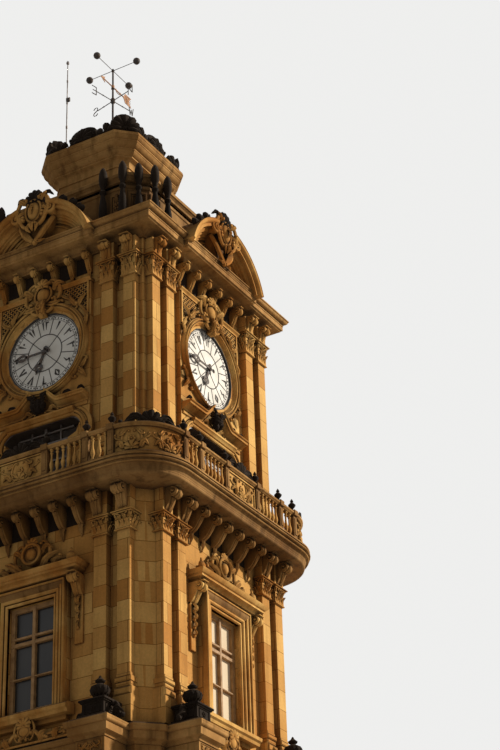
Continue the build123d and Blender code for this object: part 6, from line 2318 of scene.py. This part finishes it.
for hand in (-1, 1):
    frieze_panel.scroll((hand * 0.03, 12.30), (hand * 0.20, 12.42), "s", hand, 0.020, 3.26)
    frieze_panel.leaf(
        [(hand * 0.05, 12.44, 3.26), (hand * 0.12, 12.36, 3.28), (hand * 0.20, 12.30, 3.26)], 0.08
    )
frieze_panel.rosette((0, 12.365, 3.26), 0.055, 6)
long_frieze = Relief()
for step in range(5):
    place = -1.12 + 0.56 * step
    long_frieze.rosette((place, 12.36, 2.59), 0.085, 7)
    for hand in (-1, 1):
        long_frieze.scroll((place + hand * 0.09, 12.30), (place + hand * 0.24, 12.42), "s", hand, 0.022, 2.59)
        long_frieze.leaf(
            [
                (place + hand * 0.08, 12.44, 2.59), (place + hand * 0.16, 12.38, 2.62),
                (place + hand * 0.23, 12.29, 2.59)
            ],
            0.09
        )
for place in (-COLUMN_PLACE, COLUMN_PLACE):
    long_frieze.join(frieze_panel, u=place)
dentils = Relief()
for step in range(22):
    place = -1.42 + 2.84 * step / 21
    dentils.block(place - 0.035, place + 0.035, 12.52, 12.585, 2.58, 2.66, 0.003)
long_frieze.join(dentils)
set_out("entablature_friezes", carve("frieze", long_frieze), carved)

crest = Relief()
crest.cartouche((0, 13.16), 0.34, 0.34, 2.68)
crest.shell((0, 13.24), 0.17, 2.70, 7, 190)
for hand in (-1, 1):
    crest.scroll((hand * 0.16, 13.10), (hand * 0.46, 12.98), "s", hand, 0.045, 2.68)
    crest.scroll((hand * 0.50, 12.96), (hand * 0.84, 13.06), "s", hand, 0.040, 2.68)
    crest.scroll((hand * 0.88, 12.97), (hand * 1.24, 13.12), "s", hand, 0.042, 2.68)
    for place, tall in ((0.36, 0.22), (0.66, 0.20), (1.02, 0.24), (1.30, 0.28)):
        crest.leaf(
            [
                (hand * place, 12.89, 2.66), (hand * (place + 0.04), 12.89 + 0.6 * tall, 2.74),
                (hand * (place + 0.10), 12.89 + tall, 2.67)
            ],
            0.17
        )
crest.block(-1.38, 1.38, 12.88, 12.93, 2.58, 2.72, 0.01)
set_out("entablature_crests", carve("crest", crest), carved)
print("entablature:", {name: made[name] for name in made if "entablature" in name or "urn" in name})

# %% [markdown]
# ## Columns, ground storey and entrance
# These lie below the photograph, so they repeat what shows above: turned shafts with a slight
# swelling, the same two tiers of leaves on the capitals, and the same mouldings in plainer runs.

# %% Turn the columns and dress the ground storey
column_outline = [(0.285, 7.25), (0.285, 7.31), (0.265, 7.33), (0.238, 7.36), (0.238, 7.38)]
column_outline += [(0.260, 7.40), (0.262, 7.43), (0.235, 7.455), (0.217, 7.47)]
column_outline += [(0.217 - 0.032 * max(0.0, s - 0.2) ** 1.4, 7.49 + 3.90 * s) for s in np.linspace(0, 1, 9)]
column_outline += [
    (0.205, 11.40), (0.205, 11.425), (0.188, 11.44), (0.200, 11.60), (0.235, 11.80), (0.235, 11.815)
]
set_out(
    "column_shafts", turned_piece("column", column_outline, 28), limestone, over_columns,
    replaced=["second_storey_columns"]
)
column_head = Relief()
for turn in range(8):
    for shift, low, tall, wide in ((0.0, 11.44, 0.17, 0.15), (22.5, 11.53, 0.18, 0.13)):
        petal = Relief()
        petal.leaf(
            [
                (0, low, 0.195), (0, low + 0.6 * tall, 0.215), (0, low + tall, 0.25),
                (0, low + 0.9 * tall, 0.29)
            ],
            wide, 3, 0.22, 10
        )
        column_head.join(turned_about(petal, 45 * turn + shift))
for turn in (45, 135, 225, 315):
    flank = Relief()
    flank.volute((0.30, 11.74), 0.075, -1, 90, 1.6, 0.0, 0.34, 20)
    for hand in (-1, 1):
        column_head.join(turned_about(on_flank(flank, hand), turn))
    column_head.join(turned_about(disc_on_edge(0.30, 11.74, 0.07, 0.02), turn))
column_head.block(-0.265, 0.265, 11.815, 11.85, -0.265, 0.265, 0.006)
column_head.block(-0.29, 0.29, 11.85, 11.90, -0.29, 0.29, 0.01)
column_foot = Relief()
for half, low, high, bevel in (
    (0.30, 6.30, 6.48, 0.01), (0.27, 6.48, 6.53, 0.02), (0.25, 6.52, 7.12, 0.004), (0.27, 7.10, 7.14, 0.01),
    (0.30, 7.14, 7.25, 0.015)
):
    column_foot.block(-half, half, low, high, -half, half, bevel)
base_panel = Relief()
base_panel.moulding(rectangle(0.16, 6.62, 7.02), [(-0.014, 0.245), (0, 0.27), (0.014, 0.245)], closed=True)
for turn in QUARTERS:
    column_foot.join(turned_about(base_panel, turn))
set_out("column_capitals", carve("column_head", column_head), carved, over_columns)
set_out("column_pedestals", carve("column_foot", column_foot, 28), limestone, over_columns)

podium_line = [(0.0, 5.70), (0.0, 5.74), (0.03, 5.75), (0.03, 5.80), (0.0, 5.82), (0.0, 5.95)]
podium_line += swell((0.0, 5.96), (0.07, 6.06), -0.2)
podium_line += [(0.08, 6.07), (0.16, 6.10), (0.20, 6.115), (0.205, 6.12), (0.205, 6.20)]
podium_line += swell((0.21, 6.205), (0.23, 6.25), 0.25) + [(0.23, 6.265), (0.0, 6.30)]
run_cornice(
    "podium_cornice_mouldings", square_plan(3.38, cut=0.50), podium_line, 1.0, weathered_and_shaded, ("podium_cornice",)
)


def arch_surround(half, low, spring, face, name, first, repeats):
    """A moulded arch with a keystone round an opening."""
    ring = Relief()
    for grow_by, wide, proud in ((0.03, 0.03, 0.05), (0.12, 0.05, 0.08), (0.24, 0.05, 0.11)):
        edge = [(half + grow_by, low)] + arc((0, spring), half + grow_by, 0, 180, 19)
        edge += [(-half - grow_by, low)]
        ring.moulding(edge, bar_profile(wide, face - 0.1, face + proud))
    key = [
        (-0.13, spring + half - 0.02), (0.13, spring + half - 0.02), (0.19, spring + half + 0.42),
        (-0.19, spring + half + 0.42)
    ]
    ring.plate(key, face - 0.1, face + 0.17, 0.02)
    ring.leaf(
        [
            (0, spring + half + 0.36, face + 0.17), (0, spring + half + 0.2, face + 0.24),
            (0, spring + half + 0.04, face + 0.18)
        ],
        0.2
    )
    set_out(name, carve("arch", ring, 26), moulded, first=first, repeats=repeats)


PODIUM_FACE = 3.35 + 0.11
arch_surround(0.75, 0.51, 2.90, PODIUM_FACE + 0.06, "doorway_surround", 0, 1)
arch_surround(0.60, 1.90, 3.30, PODIUM_FACE + 0.06, "arched_window_surrounds", 90, 3)
sills = Relief()
sills.slab(
    [(3.36, 1.62), (3.56, 1.62), (3.60, 1.66), (3.66, 1.70), (3.67, 1.78), (3.56, 1.84), (3.36, 1.86)], -0.98,
    0.98
)
set_out("arched_window_sills", carve("sill", sills, 28), moulded, first=90, repeats=3)
INSET_FACE = 2.93
arched_bars = Relief()
arched_bars.block(-0.03, 0.03, 1.93, 3.86, INSET_FACE - 0.01, INSET_FACE + 0.06, 0.006)
for height in (2.40, 2.85, 3.30):
    arched_bars.block(
        -0.59, 0.59, height - 0.022, height + 0.022, INSET_FACE - 0.01, INSET_FACE + 0.05, 0.005
    )
for angle in (45, 90, 135):
    a = math.radians(angle)
    arched_bars.strip(
        [(0, 3.30, INSET_FACE), (0.57 * math.cos(a), 3.30 + 0.57 * math.sin(a), INSET_FACE)], 0.018, 0.045,
        FILLET
    )
set_out("arched_window_bars", carve("bars", arched_bars), paint, first=90, repeats=3)

leaves = Relief()
for hand in (-1, 1):
    for low, high in ((0.66, 1.30), (1.42, 2.74)):
        near, far = sorted((hand * 0.10, hand * 0.66))
        leaves.moulding(
            [(near, low), (far, low), (far, high), (near, high)],
            [
                (-0.03, INSET_FACE - 0.01), (-0.02, INSET_FACE + 0.035), (0.02, INSET_FACE + 0.035),
                (0.03, INSET_FACE - 0.01)
            ],
            closed=True
        )
        leaves.block(
            near + 0.08, far - 0.08, low + 0.08, high - 0.08, INSET_FACE - 0.01, INSET_FACE + 0.03, 0.02
        )
    leaves.boss((hand * 0.07, 1.62, INSET_FACE + 0.05), (0.03, 0.03, 0.03), 3, 12)
leaves.block(-0.04, 0.04, 0.53, 2.86, INSET_FACE - 0.01, INSET_FACE + 0.06, 0.012)
leaves.block(-0.74, 0.74, 2.84, 2.96, INSET_FACE - 0.01, INSET_FACE + 0.07, 0.012)
for angle in range(0, 181, 30):
    a = math.radians(angle)
    leaves.strip(
        [
            (0.12 * math.cos(a), 2.96 + 0.12 * math.sin(a), INSET_FACE),
            (0.70 * math.cos(a), 2.92 + 0.72 * math.sin(a), INSET_FACE)
        ],
        0.016, 0.04, FILLET
    )
set_out("entrance_door_leaves", carve("leaves", leaves), wood, repeats=1)
print("ground storey:", {name: made[name] for name in made if "arched" in name or "door" in name})

# %% [markdown]
# ## Sizes
# The dressed tower must fill the same box as its solids, so both boxes are gathered side by side.

# %% Gather the sizes and finish
sizes = {"cad": cad_box, "visual": [list(corner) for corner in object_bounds()]}
print("triangles added:", sum(made.values()))
